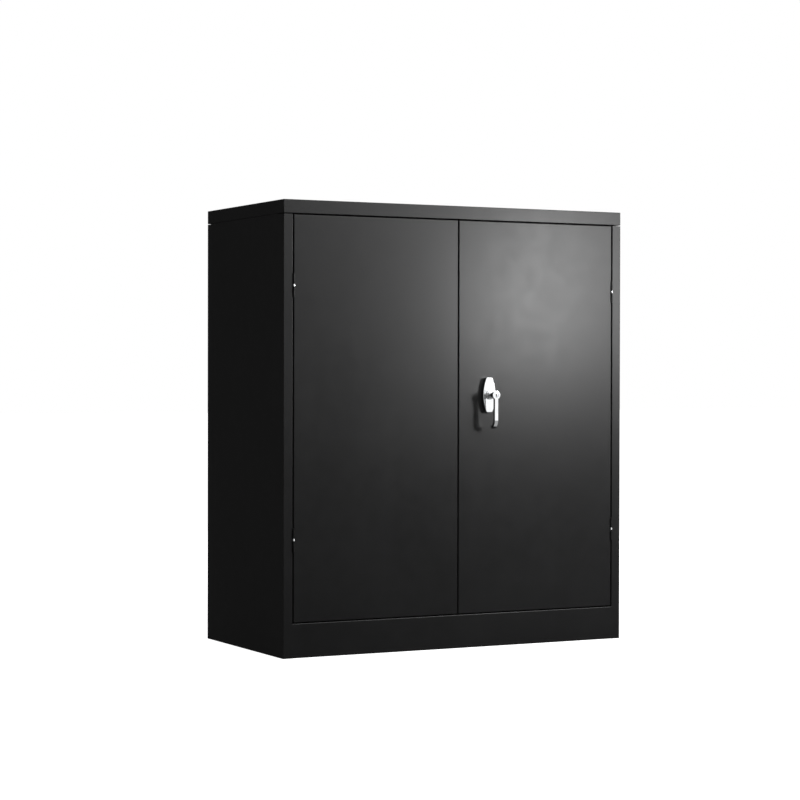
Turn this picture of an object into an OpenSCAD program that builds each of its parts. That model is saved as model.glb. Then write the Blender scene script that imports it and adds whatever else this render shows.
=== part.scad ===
// Counter-height steel storage cabinet: a bent-sheet carcass with a top cap and a kick plate,
// two flush doors on small knuckle hinges, two adjustable shelves, and a swing handle that
// drives a three-point latch.
// X runs to the right, Y to the back and Z up, in millimetres. The origin is on the floor,
// under the middle of the whole object with its handle.

/* [Carcass] */
// Overall width
body_w = 920; // [700:10:1200]
// Depth from the front face to the back, without the handle
body_d = 454; // [380:1:600]
// Overall height
body_h = 1060; // [800:10:1400]
// Thickness of the panel steel
sheet_t = 0.9; // [0.7:0.1:1.2]
// Outside radius of the bends in the panels
bend_r = 1.6; // [1.4:0.1:2.4]
// Height of the top cap
cap_h = 32; // [24:1:50]
// Depth of the flange that turns in under the front of the cap and on top of the kick plate
header_d = 36; // [36:1:60]
// Width of the other flanges that turn in round the edges of the panels
flange_w = 16; // [14:1:24]
// Length of the open corner at the back end of each side panel's top flange
corner_relief = 22; // [10:1:40]
// Height of the kick plate
kick_h = 80; // [50:1:120]
// Width of the stile that each side panel shows beside a door
stile_w = 24; // [20:1:40]
// Depth of the stile's return beside the door
stile_return = 28; // [26:1:45]
// Width of the lip at the inner end of the stile's return
stile_lip = 10; // [6:1:14]
// Width of the flange that each side panel turns in at the back
rear_flange = 20; // [16:1:30]
// Height of the stop behind the top and bottom edges of the doors
stop_h = 20; // [16:1:30]
// Depth of the door stop's foot
stop_foot = 13; // [10:1:15]
// Clearance between a panel and the piece that it drops in beside
fit_gap = 0.6; // [0.3:0.1:1]

/* [Doors] */
// Gap round each door
door_gap = 2.5; // [2.3:0.1:3]
// Thickness of a door
door_t = 18; // [17:0.5:20]
// Width of the lip that turns in round the back of a door
door_lip = 12; // [8:1:20]
// Space between the back of a door and its stop
stop_gap = 2; // [1:0.1:3]
// Diameter of the rubber buffers on the stops
buffer_d = 10; // [6:1:14]
// Space left between a closed door and its buffers
buffer_gap = 0.2; // [0.1:0.1:0.5]
// Depth of the stiffener inside each door
stiffener_d = 14; // [8:1:15]
// Width of the stiffener's web
stiffener_w = 50; // [30:1:80]
// Width of the stiffener's feet
stiffener_foot = 15; // [8:1:25]

/* [Hinges] */
// Distance from the top of the cabinet down to the upper hinges' middle
upper_hinge_drop = 198; // [130:1:260]
// Height of the lower hinges' middle above the floor
lower_hinge_z = 274; // [180:1:400]
// Radius of a knuckle
knuckle_r = 2.5; // [2.3:0.1:3]
// Length of a knuckle
knuckle_l = 24; // [16:1:40]
// Radius of the hinge pin
pin_r = 1.3; // [1:0.1:1.6]
// Running clearance round a pin, as a radius
pin_clear = 0.05; // [0.02:0.01:0.1]
// Radius of the bright bush between the knuckles
bush_r = 2.7; // [2.4:0.1:2.8]
// Height of the bush
bush_h = 5.5; // [2:0.5:8]
// Play between the bush and the knuckle that turns on it
bush_gap = 0.1; // [0.05:0.05:0.3]
// How far the hinge axis stands in front of the doors' face
hinge_proud = 1.2; // [1:0.1:2]
// How far the hinge axis lies from the gap's middle towards the door
hinge_shift = 0.8; // [0.6:0.1:1.2]
// Thickness of a leaf
leaf_t = 1; // [0.8:0.1:1]
// Depth from the front face to the back edge of a leaf
leaf_d = 16; // [10:1:16]
// Clearance round a knuckle in the door's corner
knuckle_gap = 0.7; // [0.5:0.1:1]

/* [Shelves] */
// Slot that carries the lower shelf, counted from the bottom
lower_shelf_slot = 5; // [2:1:6]
// Slot that carries the upper shelf, counted from the bottom
upper_shelf_slot = 11; // [9:1:12]
// Thickness of a shelf over its flanges
shelf_h = 25; // [18:1:35]
// Distance from the front face to a shelf's front edge
shelf_front = 46; // [40:1:55]
// Space behind a shelf
shelf_back_gap = 5; // [3:1:15]
// Width of the lip that turns in round the bottom of a shelf
shelf_lip = 13; // [10:1:20]
// Thickness of the slotted uprights
upright_t = 1.2; // [1:0.1:1.5]
// Depth of an upright off the side panel
upright_d = 14; // [10:1:20]
// Width of an upright's face
upright_w = 30; // [20:1:40]
// Width of an upright's feet
upright_foot = 10; // [6:1:15]
// Distance from the front face to the middle of the front uprights
upright_inset = 90; // [75:1:110]
// Distance from the back to the middle of the rear uprights
upright_rear_inset = 62; // [50:1:90]
// Spacing of the slots in the uprights
slot_pitch = 50; // [40:1:60]
// Height of the first slot above the cabinet's floor
slot_first = 60; // [40:1:90]
// Height of a slot
slot_h = 16; // [12:1:20]
// Width of a slot
slot_w = 4; // [3.5:0.1:6]
// Thickness of a shelf clip
clip_t = 1.5; // [1.2:0.1:2]
// Width of a shelf clip
clip_w = 14; // [10:1:20]
// Drop from the slot to the clip's tab
clip_drop = 22; // [16:1:26]
// Length of the tab that a shelf lies on
clip_tab = 14; // [10:1:20]

/* [Handle and latch] */
// Distance from the doors' meeting line to the handle's axis
handle_x = 79; // [70:1:90]
// Height of the handle's axis above the middle of the doors
handle_rise = 53.5; // [-50:0.5:120]
// How far the handle stands out of the doors' face
handle_reach = 46.4; // [42:0.2:60]
// Length of the escutcheon
escutcheon_l = 83.6; // [74:0.2:100]
// Width of the escutcheon's middle
escutcheon_w = 34; // [30:1:40]
// Width of the escutcheon's ends
escutcheon_end_w = 16; // [12:1:22]
// Thickness of the escutcheon
escutcheon_t = 12.6; // [6:0.2:16]
// Size of the bevel round the escutcheon's face
escutcheon_bevel = 2.5; // [1:0.5:3.5]
// Radius of the lever's head
head_r = 10.5; // [9.5:0.5:12]
// Thickness of the lever
lever_t = 7.5; // [6:0.5:10]
// Length of the lever below its axis
lever_l = 81; // [70:1:90]
// Width of the lever just below its head
lever_w = 15; // [12:0.5:18]
// Width of the lever at its tip
lever_tip_w = 9.5; // [8:0.5:12]
// Radius of the lever's end as it curls towards the door
lever_curl_r = 21; // [16:1:26]
// Radius of the handle's hub
hub_r = 8; // [7.5:0.1:9]
// Running clearance round the hub in its bearing, as a radius
hub_clear = 0.05; // [0.02:0.01:0.1]
// Radius of the lock plug in the lever's head
plug_r = 5.6; // [5:0.1:6]
// Length of the lock plug
plug_l = 28; // [20:1:32]
// Thickness of the bearing plate behind the escutcheon
bearing_t = 2; // [1.5:0.1:2.5]
// Distance from the handle's axis to each escutcheon screw
screw_reach = 30; // [26:0.5:32]
// Radius of the escutcheon screws
screw_r = 2; // [1.5:0.1:2.5]
// Thickness of the keeper plate inside the left door's edge
keeper_t = 1.5; // [1:0.1:3]
// Thickness of the cam plate
cam_t = 2.5; // [2:0.1:2.5]
// Distance from the handle's axis to each rod's pin
crank_r = 12; // [12:0.5:14]
// Radius of the pins that drive the rods
crank_pin_r = 3; // [2.5:0.1:3.5]
// Length of the tongue from the handle's axis
tongue_l = 92; // [92:1:105]
// Width of the tongue
tongue_w = 16; // [10:1:18]
// Clearance round the tongue in its slots
tongue_gap = 1.2; // [0.6:0.1:1.5]
// Radius of the lock rods
rod_r = 4; // [3:0.1:4]
// Distance from the doors' face to the rods' axis
rod_y = 10.7; // [10.5:0.1:11]
// Clearance round a rod in the holes that it passes
rod_gap = 1; // [0.5:0.1:1.5]
// Running clearance of a rod in its guide, as a radius
guide_clear = 0.08; // [0.03:0.01:0.1]
// Distance from a door's end to its rod guide
guide_inset = 45; // [30:1:120]

/* [Hidden] */
$fn = 64;

coat = "#202124";
zinc = "#b9bcc0";
chrome = "#dfe2e5";
rubber = "#2b2b2b";

// Small overlap that lets a cut run past a face
eps = 0.5;
half_t = sheet_t / 2;
bend_mid = bend_r - half_t;

opening_w = body_w - 2 * stile_w;
cap_z = body_h - cap_h;
skin_top = cap_z - bend_r;
floor_z = kick_h + stop_h;
back_y = body_d - 2 * sheet_t;
stop_y = door_t + stop_gap;

door_w = (opening_w - 3 * door_gap) / 2;
door_z = kick_h + door_gap;
door_h = cap_z - door_gap - door_z;
door_top = door_z + door_h;
door_x = door_gap / 2;
gap_x = opening_w / 2 - door_gap / 2;
handle_z = door_z + door_h / 2 + handle_rise;
upper_hinge_z = body_h - upper_hinge_drop;

// Clearance of a nut on its screw
thread_clear = 0.02;

// Screws that hold the cap down, and rivets that hold the back panel
cap_screw_r = 3;
cap_screw_clear = 0.3;
cap_screw_head_r = 5.5;
cap_screw_head_h = 3.5;
cap_nut_r = 5.8;
cap_nut_h = 4;
cap_screw_y = [0.36, 0.56, 0.76] * body_d;
cap_screw_x = body_w / 2 - sheet_t - (flange_w - sheet_t) / 2;
rivet_r = 1.6;
rivet_clear = 0.05;
rivet_head_r = 4;
rivet_head_h = 1.2;
rivet_count = 6;
rivet_end = 60;
rivet_x = body_w / 2 - rear_flange / 2;

// Where the front face lies, so that the whole depth with handle and rivets is centred
front_y = (handle_reach - body_d - rivet_head_h) / 2;

// Hinge, counted from its middle
knuckle_z = bush_h / 2;
hinge_h = 2 * (knuckle_z + knuckle_l);
leaf_y = knuckle_r + knuckle_gap - hinge_proud;

// Shelves and uprights
web_x = body_w / 2 - sheet_t - upright_d;
upright_top = skin_top - fit_gap;
upright_ys = [upright_inset, body_d - upright_rear_inset];
slot_count = floor((upright_top - floor_z - slot_first - slot_h - clip_t) / slot_pitch) + 1;
shelf_side_gap = 1.5;
shelf_w = 2 * (web_x - clip_t - shelf_side_gap);
shelf_d = back_y - shelf_back_gap - shelf_front;

// Latch: how deep each layer lies behind the doors' face
bearing_back = sheet_t + bearing_t;
cam_y = bearing_back + 0.5;
cam_back = cam_y + cam_t;
yoke_t = 3;
yoke_y = rod_y - yoke_t / 2;
nut_t = yoke_y - cam_back - 0.4;
shank_w = 9;
thread_r = 3;
cam_nut_r = 5.5;
cam_hub_r = 18;
// The pins swing from 45 degrees below the level line to 45 degrees above it
crank_low = crank_r * sin(45);
rod_x = (crank_r + crank_low) / 2;
yoke_slack = 0.8;
yoke_slot_w = crank_r - crank_low + 2 * (crank_pin_r + yoke_slack / 2);
yoke_slot_h = 2 * (crank_pin_r + yoke_slack);
yoke_wall = 2.5;
rod_rest = 0.4;
hub_gap = 0.3;
plug_clear = 0.05;
plug_recess = 0.4;
head_t = lever_t + 2;

// The length that the tongue sweeps along the doors' edges as it swings level
tongue_near = handle_x - door_gap / 2 - sheet_t - tongue_gap;
tongue_corner = norm([tongue_l, tongue_w / 2]);
tongue_rise = sqrt(pow(tongue_corner, 2) - pow(tongue_near, 2));
tongue_slot_low = handle_z - tongue_w / 2 - tongue_gap;
tongue_slot_h = tongue_rise + tongue_w / 2 + 2 * tongue_gap;

function unit(v) = v / norm(v);
function low_of(a, b) = [min(a[0], b[0]), min(a[1], b[1])];
function high_of(a, b) = [max(a[0], b[0]), max(a[1], b[1])];

// ---------- helpers ----------

// Everything is drawn with its zero on the front face, then set back to the object's frame.
module in_place() {
  translate([0, front_y, 0]) children();
}

// A bent sheet seen end on: straight legs of thickness t along a path of square turns, with
// each turn rounded at radius r on the sheet's middle line.
module bent_strip(path, t, r) {
  last = len(path) - 1;
  for (i = [0 : last - 1]) {
    way = unit(path[i + 1] - path[i]);
    from = path[i] + (i > 0 ? r : 0) * way;
    to = path[i + 1] - (i < last - 1 ? r : 0) * way;
    side = t / 2 * [abs(way[1]), abs(way[0])];
    translate(low_of(from, to) - side) square(high_of(from, to) - low_of(from, to) + 2 * side);
  }
  for (i = [1 : last - 1]) {
    way_in = unit(path[i] - path[i - 1]);
    way_out = unit(path[i + 1] - path[i]);
    centre = path[i] + r * (way_out - way_in);
    corner = centre + (r + t) * (way_in - way_out);
    intersection() {
      translate(centre) difference() {
        circle(r + t / 2);
        if (r > t / 2) circle(r - t / 2);
      }
      translate(low_of(centre, corner)) square(high_of(centre, corner) - low_of(centre, corner));
    }
  }
}

// Extrudes a profile drawn in X and Z along Y, from y to y + d.
module along_y(y, d) {
  translate([0, y + d, 0]) rotate([90, 0, 0]) linear_extrude(d) children();
}

// Extrudes a profile drawn in Y and Z along X, centred on x = 0.
module along_x(w) {
  rotate([90, 0, 90]) linear_extrude(w, center = true) children();
}

module rounded_rect(w, h, r) {
  translate([r, 0]) square([w - 2 * r, h]);
  translate([0, r]) square([w, h - 2 * r]);
  for (x = [r, w - r]) for (y = [r, h - r]) translate([x, y]) circle(r);
}

// A box with one corner at zero and every edge rounded.
module rounded_box(size, r) {
  intersection() {
    linear_extrude(size[2]) rounded_rect(size[0], size[1], r);
    translate([0, size[1], 0]) rotate([90, 0, 0])
      linear_extrude(size[1]) rounded_rect(size[0], size[2], r);
    rotate([90, 0, 90]) linear_extrude(size[0]) rounded_rect(size[1], size[2], r);
  }
}

// A sheet pan with its open side down: a top, four flanges and a lip turned in all round.
// lips gives the widths of the left, front, right and back lips.
module sheet_pan(size, t, r, lips) {
  difference() {
    rounded_box(size, r);
    translate([t, t, t]) rounded_box(size - 2 * [t, t, t], r - t);
    translate([lips[0], lips[1], -eps])
      cube([size[0] - lips[0] - lips[2], size[1] - lips[1] - lips[3], t + 2 * eps]);
  }
}

// A drilled hole or a turned pin along Y, from y to y + l.
module rod_along_y(x, y, z, r, l) {
  translate([x, y, z]) rotate([-90, 0, 0]) cylinder(h = l, r = r);
}

// ---------- carcass ----------

// The left side panel: skin, front stile with its return, back flange, top and bottom flanges.
module side_panel() {
  stile = [[stile_w - half_t, half_t], [half_t, half_t]];
  back = [[half_t, body_d - half_t], [rear_flange, body_d - half_t]];
  lip = [
    [stile_w - stile_lip, stile_return - half_t],
    [stile_w - half_t, stile_return - half_t]
  ];
  color(coat) in_place() translate([-body_w / 2, 0, 0]) {
    linear_extrude(kick_h) bent_strip([[stile_w, half_t], stile[1], back[0], back[1]], sheet_t, bend_mid);
    translate([0, 0, kick_h]) linear_extrude(skin_top - kick_h)
      bent_strip(concat(lip, stile, back), sheet_t, bend_mid);
    along_y(stile_return, body_d - stile_return - corner_relief) bent_strip(
      [[half_t, cap_z - 2 * bend_r], [half_t, cap_z - half_t], [flange_w, cap_z - half_t]],
      sheet_t, bend_mid
    );
    translate([half_t, stile_return, 0]) cube([flange_w - half_t, body_d - stile_return - half_t, sheet_t]);
  }
}

module drilled_side_panel() {
  difference() {
    side_panel();
    cap_screw_places(-1) cap_screw_hole();
    rivet_holes(-1);
  }
}

module right_of() {
  mirror([1, 0, 0]) children();
}

// Places on the joint between the cap and a side panel, side -1 for left and 1 for right.
module cap_screw_places(side) {
  for (y = cap_screw_y) in_place() translate([side * cap_screw_x, y, cap_z]) children();
}

module cap_screw_hole() {
  translate([0, 0, -cap_h / 2]) cylinder(h = cap_h, r = cap_screw_r + cap_screw_clear);
}

// The square slot that a lock rod's end passes, through a flange at height z.
module rod_slot(x, z) {
  side = 2 * (rod_r + rod_gap);
  in_place() translate([x, rod_y, z]) cube([side, side, 4 * sheet_t], center = true);
}

// Places on the back flange of a side panel.
module rivet_places(side) {
  step = (skin_top - 2 * rivet_end) / (rivet_count - 1);
  for (i = [0 : rivet_count - 1])
    in_place() translate([side * rivet_x, body_d, rivet_end + i * step]) children();
}

// The holes that the rivets pass, through both sheets.
module rivet_holes(side) {
  rivet_places(side) rotate([90, 0, 0]) translate([0, 0, -eps])
    cylinder(h = 4 * sheet_t, r = rivet_r + rivet_clear);
}

module back_panel() {
  mid_y = back_y + half_t;
  low = sheet_t + half_t;
  color(coat) difference() {
    in_place() along_x(body_w - 2 * (bend_r + fit_gap)) bent_strip(
      [
        [mid_y - flange_w, low], [mid_y, low], [mid_y, cap_z - half_t],
        [mid_y - flange_w, cap_z - half_t]
      ],
      sheet_t, bend_mid
    );
    for (side = [-1, 1]) {
      rivet_holes(side);
      in_place() translate([side * (body_w / 2 - flange_w / 2), body_d - corner_relief / 2, cap_z])
        cube([flange_w + 2 * fit_gap, 2 * corner_relief, 2 * bend_r], center = true);
    }
  }
}

module top_cap() {
  color(coat) difference() {
    in_place() translate([-body_w / 2, 0, cap_z])
      sheet_pan([body_w, body_d, cap_h], sheet_t, bend_r, [flange_w, header_d, flange_w, flange_w]);
    for (side = [-1, 1])
      cap_screw_places(side) cap_screw_hole();
    rod_slot(handle_x + rod_x, cap_z);
  }
}

// The angle under the cap that the doors close against.
module header_rail() {
  color(coat) in_place() along_x(opening_w - 2 * fit_gap) bent_strip(
    [
      [stop_y + half_t, cap_z - stop_h], [stop_y + half_t, cap_z - half_t],
      [stop_y + stop_foot, cap_z - half_t]
    ],
    sheet_t, bend_mid
  );
}

module floor_pan() {
  inner_w = body_w - 2 * sheet_t;
  notch = [stile_w - sheet_t + fit_gap, stile_return - stop_y + fit_gap];
  color(coat) in_place() difference() {
    translate([-inner_w / 2, stop_y, kick_h])
      sheet_pan(
        [inner_w, back_y - stop_y, stop_h], sheet_t, bend_r,
        [stop_foot, stop_foot, stop_foot, stop_foot]
      );
    for (side = [-1, 1])
      translate([side * inner_w / 2, stop_y, kick_h + stop_h / 2])
        cube([2 * notch[0], 2 * notch[1], 2 * stop_h], center = true);
  }
}

module kick_plate() {
  color(coat) difference() {
    in_place() along_x(opening_w) bent_strip(
      [[flange_w, half_t], [half_t, half_t], [half_t, kick_h - half_t], [header_d, kick_h - half_t]],
      sheet_t, bend_mid
    );
    rod_slot(handle_x - rod_x, kick_h);
  }
}

// ---------- shelves ----------

// A slotted hat channel on the left side panel, with its middle at depth y.
module upright(y) {
  root = sheet_t + upright_t / 2;
  face = sheet_t + upright_d - upright_t / 2;
  near = y - upright_w / 2 + upright_t / 2;
  far = y + upright_w / 2 - upright_t / 2;
  color(coat) in_place() translate([-body_w / 2, 0, 0]) difference() {
    translate([0, 0, floor_z]) linear_extrude(upright_top - floor_z) bent_strip(
      [
        [root, near - upright_foot], [root, near], [face, near], [face, far], [root, far],
        [root, far + upright_foot]
      ],
      upright_t, upright_t
    );
    for (i = [0 : slot_count - 1])
      translate([face, y, floor_z + slot_first + i * slot_pitch + slot_h / 2])
        cube([2 * upright_t, slot_w, slot_h], center = true);
  }
}

// A clip on the left side panel's upright at depth y: a hook through the slot, a plate down the
// face and a tab under the shelf. slot_z is the slot's lower edge.
module shelf_clip(y, slot_z) {
  play = 0.2;
  hook_drop = 6;
  face = body_w / 2 - web_x;
  hook_x = face - upright_t - play - clip_t / 2;
  plate_x = face + clip_t / 2;
  arm_z = slot_z + clip_t / 2;
  tab_z = slot_z - clip_drop;
  neck = slot_w - 2 * play;
  translate([-body_w / 2, 0, 0]) {
    along_y(y - neck / 2, neck) bent_strip(
      [[hook_x, slot_z - hook_drop], [hook_x, arm_z], [plate_x, arm_z], [plate_x, slot_z - hook_drop]],
      clip_t, clip_t / 2
    );
    along_y(y - clip_w / 2, clip_w) bent_strip(
      [[plate_x, slot_z - 2], [plate_x, tab_z], [plate_x + clip_tab, tab_z]], clip_t, clip_t
    );
  }
}

function slot_level(slot) = floor_z + slot_first + (slot - 1) * slot_pitch;

// The four clips that carry one shelf.
module shelf_clips(slot) {
  color(zinc) in_place() for (y = upright_ys) {
    shelf_clip(y, slot_level(slot));
    right_of() shelf_clip(y, slot_level(slot));
  }
}

module shelf(slot) {
  bottom = slot_level(slot) - clip_drop + clip_t / 2;
  color(coat) in_place() translate([-shelf_w / 2, shelf_front, bottom])
    sheet_pan([shelf_w, shelf_d, shelf_h], sheet_t, bend_r, [shelf_lip, shelf_lip, shelf_lip, shelf_lip]);
}

// ---------- fasteners and buffers ----------

module cap_screws() {
  color(zinc) for (side = [-1, 1]) cap_screw_places(side) {
    translate([0, 0, -sheet_t - cap_screw_head_h]) cylinder(h = cap_screw_head_h, r = cap_screw_head_r);
    translate([0, 0, -sheet_t - eps]) cylinder(h = 2 * sheet_t + cap_nut_h + 2 * eps, r = cap_screw_r);
  }
}

module cap_nuts() {
  color(zinc) for (side = [-1, 1]) cap_screw_places(side) translate([0, 0, sheet_t]) difference() {
    cylinder(h = cap_nut_h, r = cap_nut_r, $fn = 6);
    translate([0, 0, -eps]) cylinder(h = cap_nut_h + 2 * eps, r = cap_screw_r + thread_clear);
  }
}

// Rivets through the side panels' back flanges and the back panel.
module back_panel_rivets() {
  color(coat) for (side = [-1, 1]) rivet_places(side) rotate([-90, 0, 0]) {
    cylinder(h = rivet_head_h, r = rivet_head_r);
    translate([0, 0, -2 * sheet_t - rivet_head_h]) cylinder(h = 2 * sheet_t + rivet_head_h, r = rivet_r);
    translate([0, 0, -2 * sheet_t - rivet_head_h]) cylinder(h = rivet_head_h, r = rivet_head_r - 1);
  }
}

// Rubber buffers on the header rail and on the floor pan's front.
module door_buffers() {
  thickness = stop_gap - buffer_gap;
  inset = 45;
  xs = [-gap_x + inset, -inset / 2, inset / 2, gap_x - inset];
  zs = [cap_z - stop_h / 2, kick_h + stop_h / 2];
  color(rubber) in_place() for (x = xs) for (z = zs)
    rod_along_y(x, stop_y - thickness, z, buffer_d / 2, thickness);
}

// ---------- doors ----------

// A door's shell with its left edge at x = 0: a folded pan with a lip round its open back.
module door_pan() {
  lips = [door_lip, door_lip, door_lip, door_lip];
  translate([0, 0, door_z]) translate([0, 0, door_h]) rotate([-90, 0, 0])
    translate([0, 0, door_t]) mirror([0, 0, 1])
    sheet_pan([door_w, door_h, door_t], sheet_t, bend_r, lips);
}

// What a hinge takes out of the door's corner, for a gap whose middle is at x = 0 and a door on
// its right.
module hinge_notch(z) {
  notch_x = hinge_shift + knuckle_r + knuckle_gap;
  height = hinge_h + 2 * knuckle_gap;
  translate([0, -eps, z - height / 2]) cube([notch_x, leaf_y + eps, height]);
}

module left_door() {
  color(coat) in_place() difference() {
    translate([-door_x - door_w, 0, 0]) door_pan();
    for (z = [upper_hinge_z, lower_hinge_z]) translate([-gap_x, 0, 0]) hinge_notch(z);
    tongue_slot();
  }
}

module right_door() {
  color(coat) in_place() difference() {
    translate([door_x, 0, 0]) door_pan();
    for (z = [upper_hinge_z, lower_hinge_z]) right_of() translate([-gap_x, 0, 0]) hinge_notch(z);
    tongue_slot();
    rod_along_y(handle_x, -eps, handle_z, hub_r + hub_gap, sheet_t + 2 * eps);
    for (z = [-screw_reach, screw_reach])
      rod_along_y(handle_x, -eps, handle_z + z, screw_r + hub_gap, sheet_t + 2 * eps);
    translate([handle_x + rod_x, rod_y, door_top - sheet_t - eps])
      cylinder(h = sheet_t + 2 * eps, r = rod_r + rod_gap);
    translate([handle_x - rod_x, rod_y, door_z - eps])
      cylinder(h = sheet_t + 2 * eps, r = rod_r + rod_gap);
  }
}

// The slot in both doors' meeting edges that the tongue swings through.
module tongue_slot() {
  width = door_gap + 2 * (sheet_t + keeper_t + eps);
  translate([-width / 2, cam_y - tongue_gap, tongue_slot_low])
    cube([width, cam_t + 2 * tongue_gap, tongue_slot_h]);
}

// A hat channel down the inside of a door, with its middle at x.
module door_stiffener(x) {
  root = sheet_t + half_t;
  web = sheet_t + stiffener_d - half_t;
  reach = stiffener_w / 2 - half_t;
  end_gap = 3;
  color(coat) in_place() translate([x, 0, door_z + sheet_t + end_gap])
    linear_extrude(door_h - 2 * (sheet_t + end_gap)) bent_strip(
      [
        [-reach - stiffener_foot, root], [-reach, root], [-reach, web], [reach, web], [reach, root],
        [reach + stiffener_foot, root]
      ],
      sheet_t, bend_mid
    );
}

// The plate that backs the tongue's slot inside the left door's edge.
module left_door_keeper() {
  margin = 12;
  low = bend_r + fit_gap;
  color(zinc) in_place() difference() {
    translate([-door_x - sheet_t - keeper_t, low, tongue_slot_low - margin])
      cube([keeper_t, door_t - 2 * low, tongue_slot_h + 2 * margin]);
    tongue_slot();
  }
}

// ---------- hinges ----------

// Puts a hinge drawn for a left door, about the middle of its gap, at its place.
module hinge_at(side, z) {
  if (side < 0) in_place() translate([-gap_x, 0, z]) children();
  else right_of() in_place() translate([-gap_x, 0, z]) children();
}

// One leaf: a plate in the gap, and a knuckle joined to it by a neck. x is the plate's left
// face, and end is -1 for the lower knuckle and 1 for the upper one.
module hinge_leaf(x, end, bore) {
  knuckle_low = end < 0 ? -knuckle_z - knuckle_l : knuckle_z + bush_gap;
  knuckle_h = end < 0 ? knuckle_l : knuckle_l - bush_gap;
  difference() {
    union() {
      translate([x, leaf_y, -hinge_h / 2]) cube([leaf_t, leaf_d - leaf_y, hinge_h]);
      translate([x, -hinge_proud, knuckle_low]) cube([leaf_t, leaf_y + hinge_proud, knuckle_h]);
      translate([hinge_shift, -hinge_proud, knuckle_low]) cylinder(h = knuckle_h, r = knuckle_r);
    }
    translate([hinge_shift, -hinge_proud, knuckle_low - eps]) cylinder(h = knuckle_h + 2 * eps, r = bore);
  }
}

module frame_leaf(side, z) {
  color(coat) hinge_at(side, z) hinge_leaf(-door_gap / 2, -1, pin_r);
}

module door_leaf(side, z) {
  color(coat) hinge_at(side, z) hinge_leaf(door_gap / 2 - leaf_t, 1, pin_r + pin_clear);
}

module hinge_pin(side, z) {
  color(zinc) hinge_at(side, z) translate([hinge_shift, -hinge_proud, -hinge_h / 2])
    cylinder(h = hinge_h, r = pin_r);
}

module hinge_bush(side, z) {
  color(chrome) hinge_at(side, z) translate([hinge_shift, -hinge_proud, -knuckle_z]) difference() {
    cylinder(h = bush_h, r = bush_r);
    translate([0, 0, -eps]) cylinder(h = bush_h + 2 * eps, r = pin_r);
  }
}

// ---------- handle and latch ----------

module at_handle() {
  in_place() translate([handle_x, 0, handle_z]) children();
}

// The boat-shaped plate under the handle: two arcs cut off at the ends, bevelled by cones.
module escutcheon() {
  rise = (escutcheon_w - escutcheon_end_w) / 2;
  arc_r = (pow(escutcheon_l / 2, 2) + pow(rise, 2)) / (2 * rise);
  arc_x = arc_r - escutcheon_w / 2;
  wall = escutcheon_t - escutcheon_bevel;
  half_l = escutcheon_l / 2;
  color(chrome) at_handle() difference() {
    intersection() {
      for_arc(-arc_x, arc_r, wall);
      for_arc(arc_x, arc_r, wall);
      along_x(escutcheon_w + 2 * eps) polygon([
        [0, -half_l], [-wall, -half_l], [-escutcheon_t, escutcheon_bevel - half_l],
        [-escutcheon_t, half_l - escutcheon_bevel], [-wall, half_l], [0, half_l]
      ]);
    }
    rod_along_y(0, -escutcheon_t - eps, 0, hub_r + hub_gap, escutcheon_t + 2 * eps);
    for (z = [-screw_reach, screw_reach]) rod_along_y(0, -wall, z, screw_r, wall + eps);
  }
}

// A disc on the door's face with a bevelled rim, for one side of the escutcheon.
module for_arc(x, r, wall) {
  translate([x, 0, 0]) rotate([90, 0, 0]) {
    cylinder(h = wall, r = r);
    translate([0, 0, wall]) cylinder(h = escutcheon_bevel, r1 = r, r2 = r - escutcheon_bevel);
  }
}

// The plate inside the door that the hub turns in.
module bearing_plate() {
  width = 30;
  length = 2 * screw_reach + 16;
  corner = 4;
  color(zinc) at_handle() difference() {
    along_y(sheet_t, bearing_t) translate([-width / 2, -length / 2]) rounded_rect(width, length, corner);
    rod_along_y(0, sheet_t - eps, 0, hub_r + hub_clear, bearing_t + 2 * eps);
    for (z = [-screw_reach, screw_reach]) {
      rod_along_y(0, sheet_t - eps, z, screw_r, bearing_t + 2 * eps);
      screw_head(z);
    }
  }
}

// A countersunk head that ends flush with the bearing plate's back.
module screw_head(z) {
  translate([0, sheet_t, z]) rotate([-90, 0, 0])
    cylinder(h = bearing_t, r1 = screw_r, r2 = screw_r + bearing_t);
}

module escutcheon_screws() {
  depth = escutcheon_t - escutcheon_bevel;
  color(zinc) at_handle() for (z = [-screw_reach, screw_reach]) {
    screw_head(z);
    rod_along_y(0, -depth, z, screw_r, depth + sheet_t);
  }
}

// The lever seen from the front: a round head and an arm that narrows to a rounded tip.
module lever_outline() {
  tip_r = lever_tip_w / 2;
  circle(head_r);
  polygon([
    [-lever_w / 2, 0], [-tip_r, tip_r - lever_l], [tip_r, tip_r - lever_l], [lever_w / 2, 0]
  ]);
  translate([0, tip_r - lever_l]) circle(tip_r);
}

// The lever seen from its side, front to the left: a thick head, a thinner arm and an end that
// curls towards the door.
module lever_profile() {
  front = -handle_reach;
  curl_z = lever_curl_r - lever_l;
  translate([front, -head_r - eps]) square([head_t, 2 * (head_r + eps)]);
  translate([front, curl_z]) square([lever_t, -curl_z]);
  intersection() {
    translate([front + lever_curl_r, curl_z]) difference() {
      circle(lever_curl_r);
      circle(lever_curl_r - lever_t);
    }
    translate([front, -lever_l]) square([lever_curl_r, lever_curl_r]);
  }
}

// The handle: lever and hub in one casting, with a square shank and a thread behind the door.
module handle_lever() {
  neck_y = head_t - handle_reach;
  color(chrome) at_handle() difference() {
    union() {
      intersection() {
        along_y(-handle_reach, handle_reach) lever_outline();
        along_x(2 * head_r + 2 * eps) lever_profile();
      }
      rotate([90, 0, 0]) rotate_extrude() hub_profile(-neck_y);
      along_y(cam_y - eps, cam_t + eps) square(shank_w, center = true);
      rod_along_y(0, cam_back - eps, 0, thread_r, nut_t + eps);
    }
    rod_along_y(0, -handle_reach - eps, 0, plug_r + plug_clear, plug_l + plug_recess + eps);
  }
}

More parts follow.
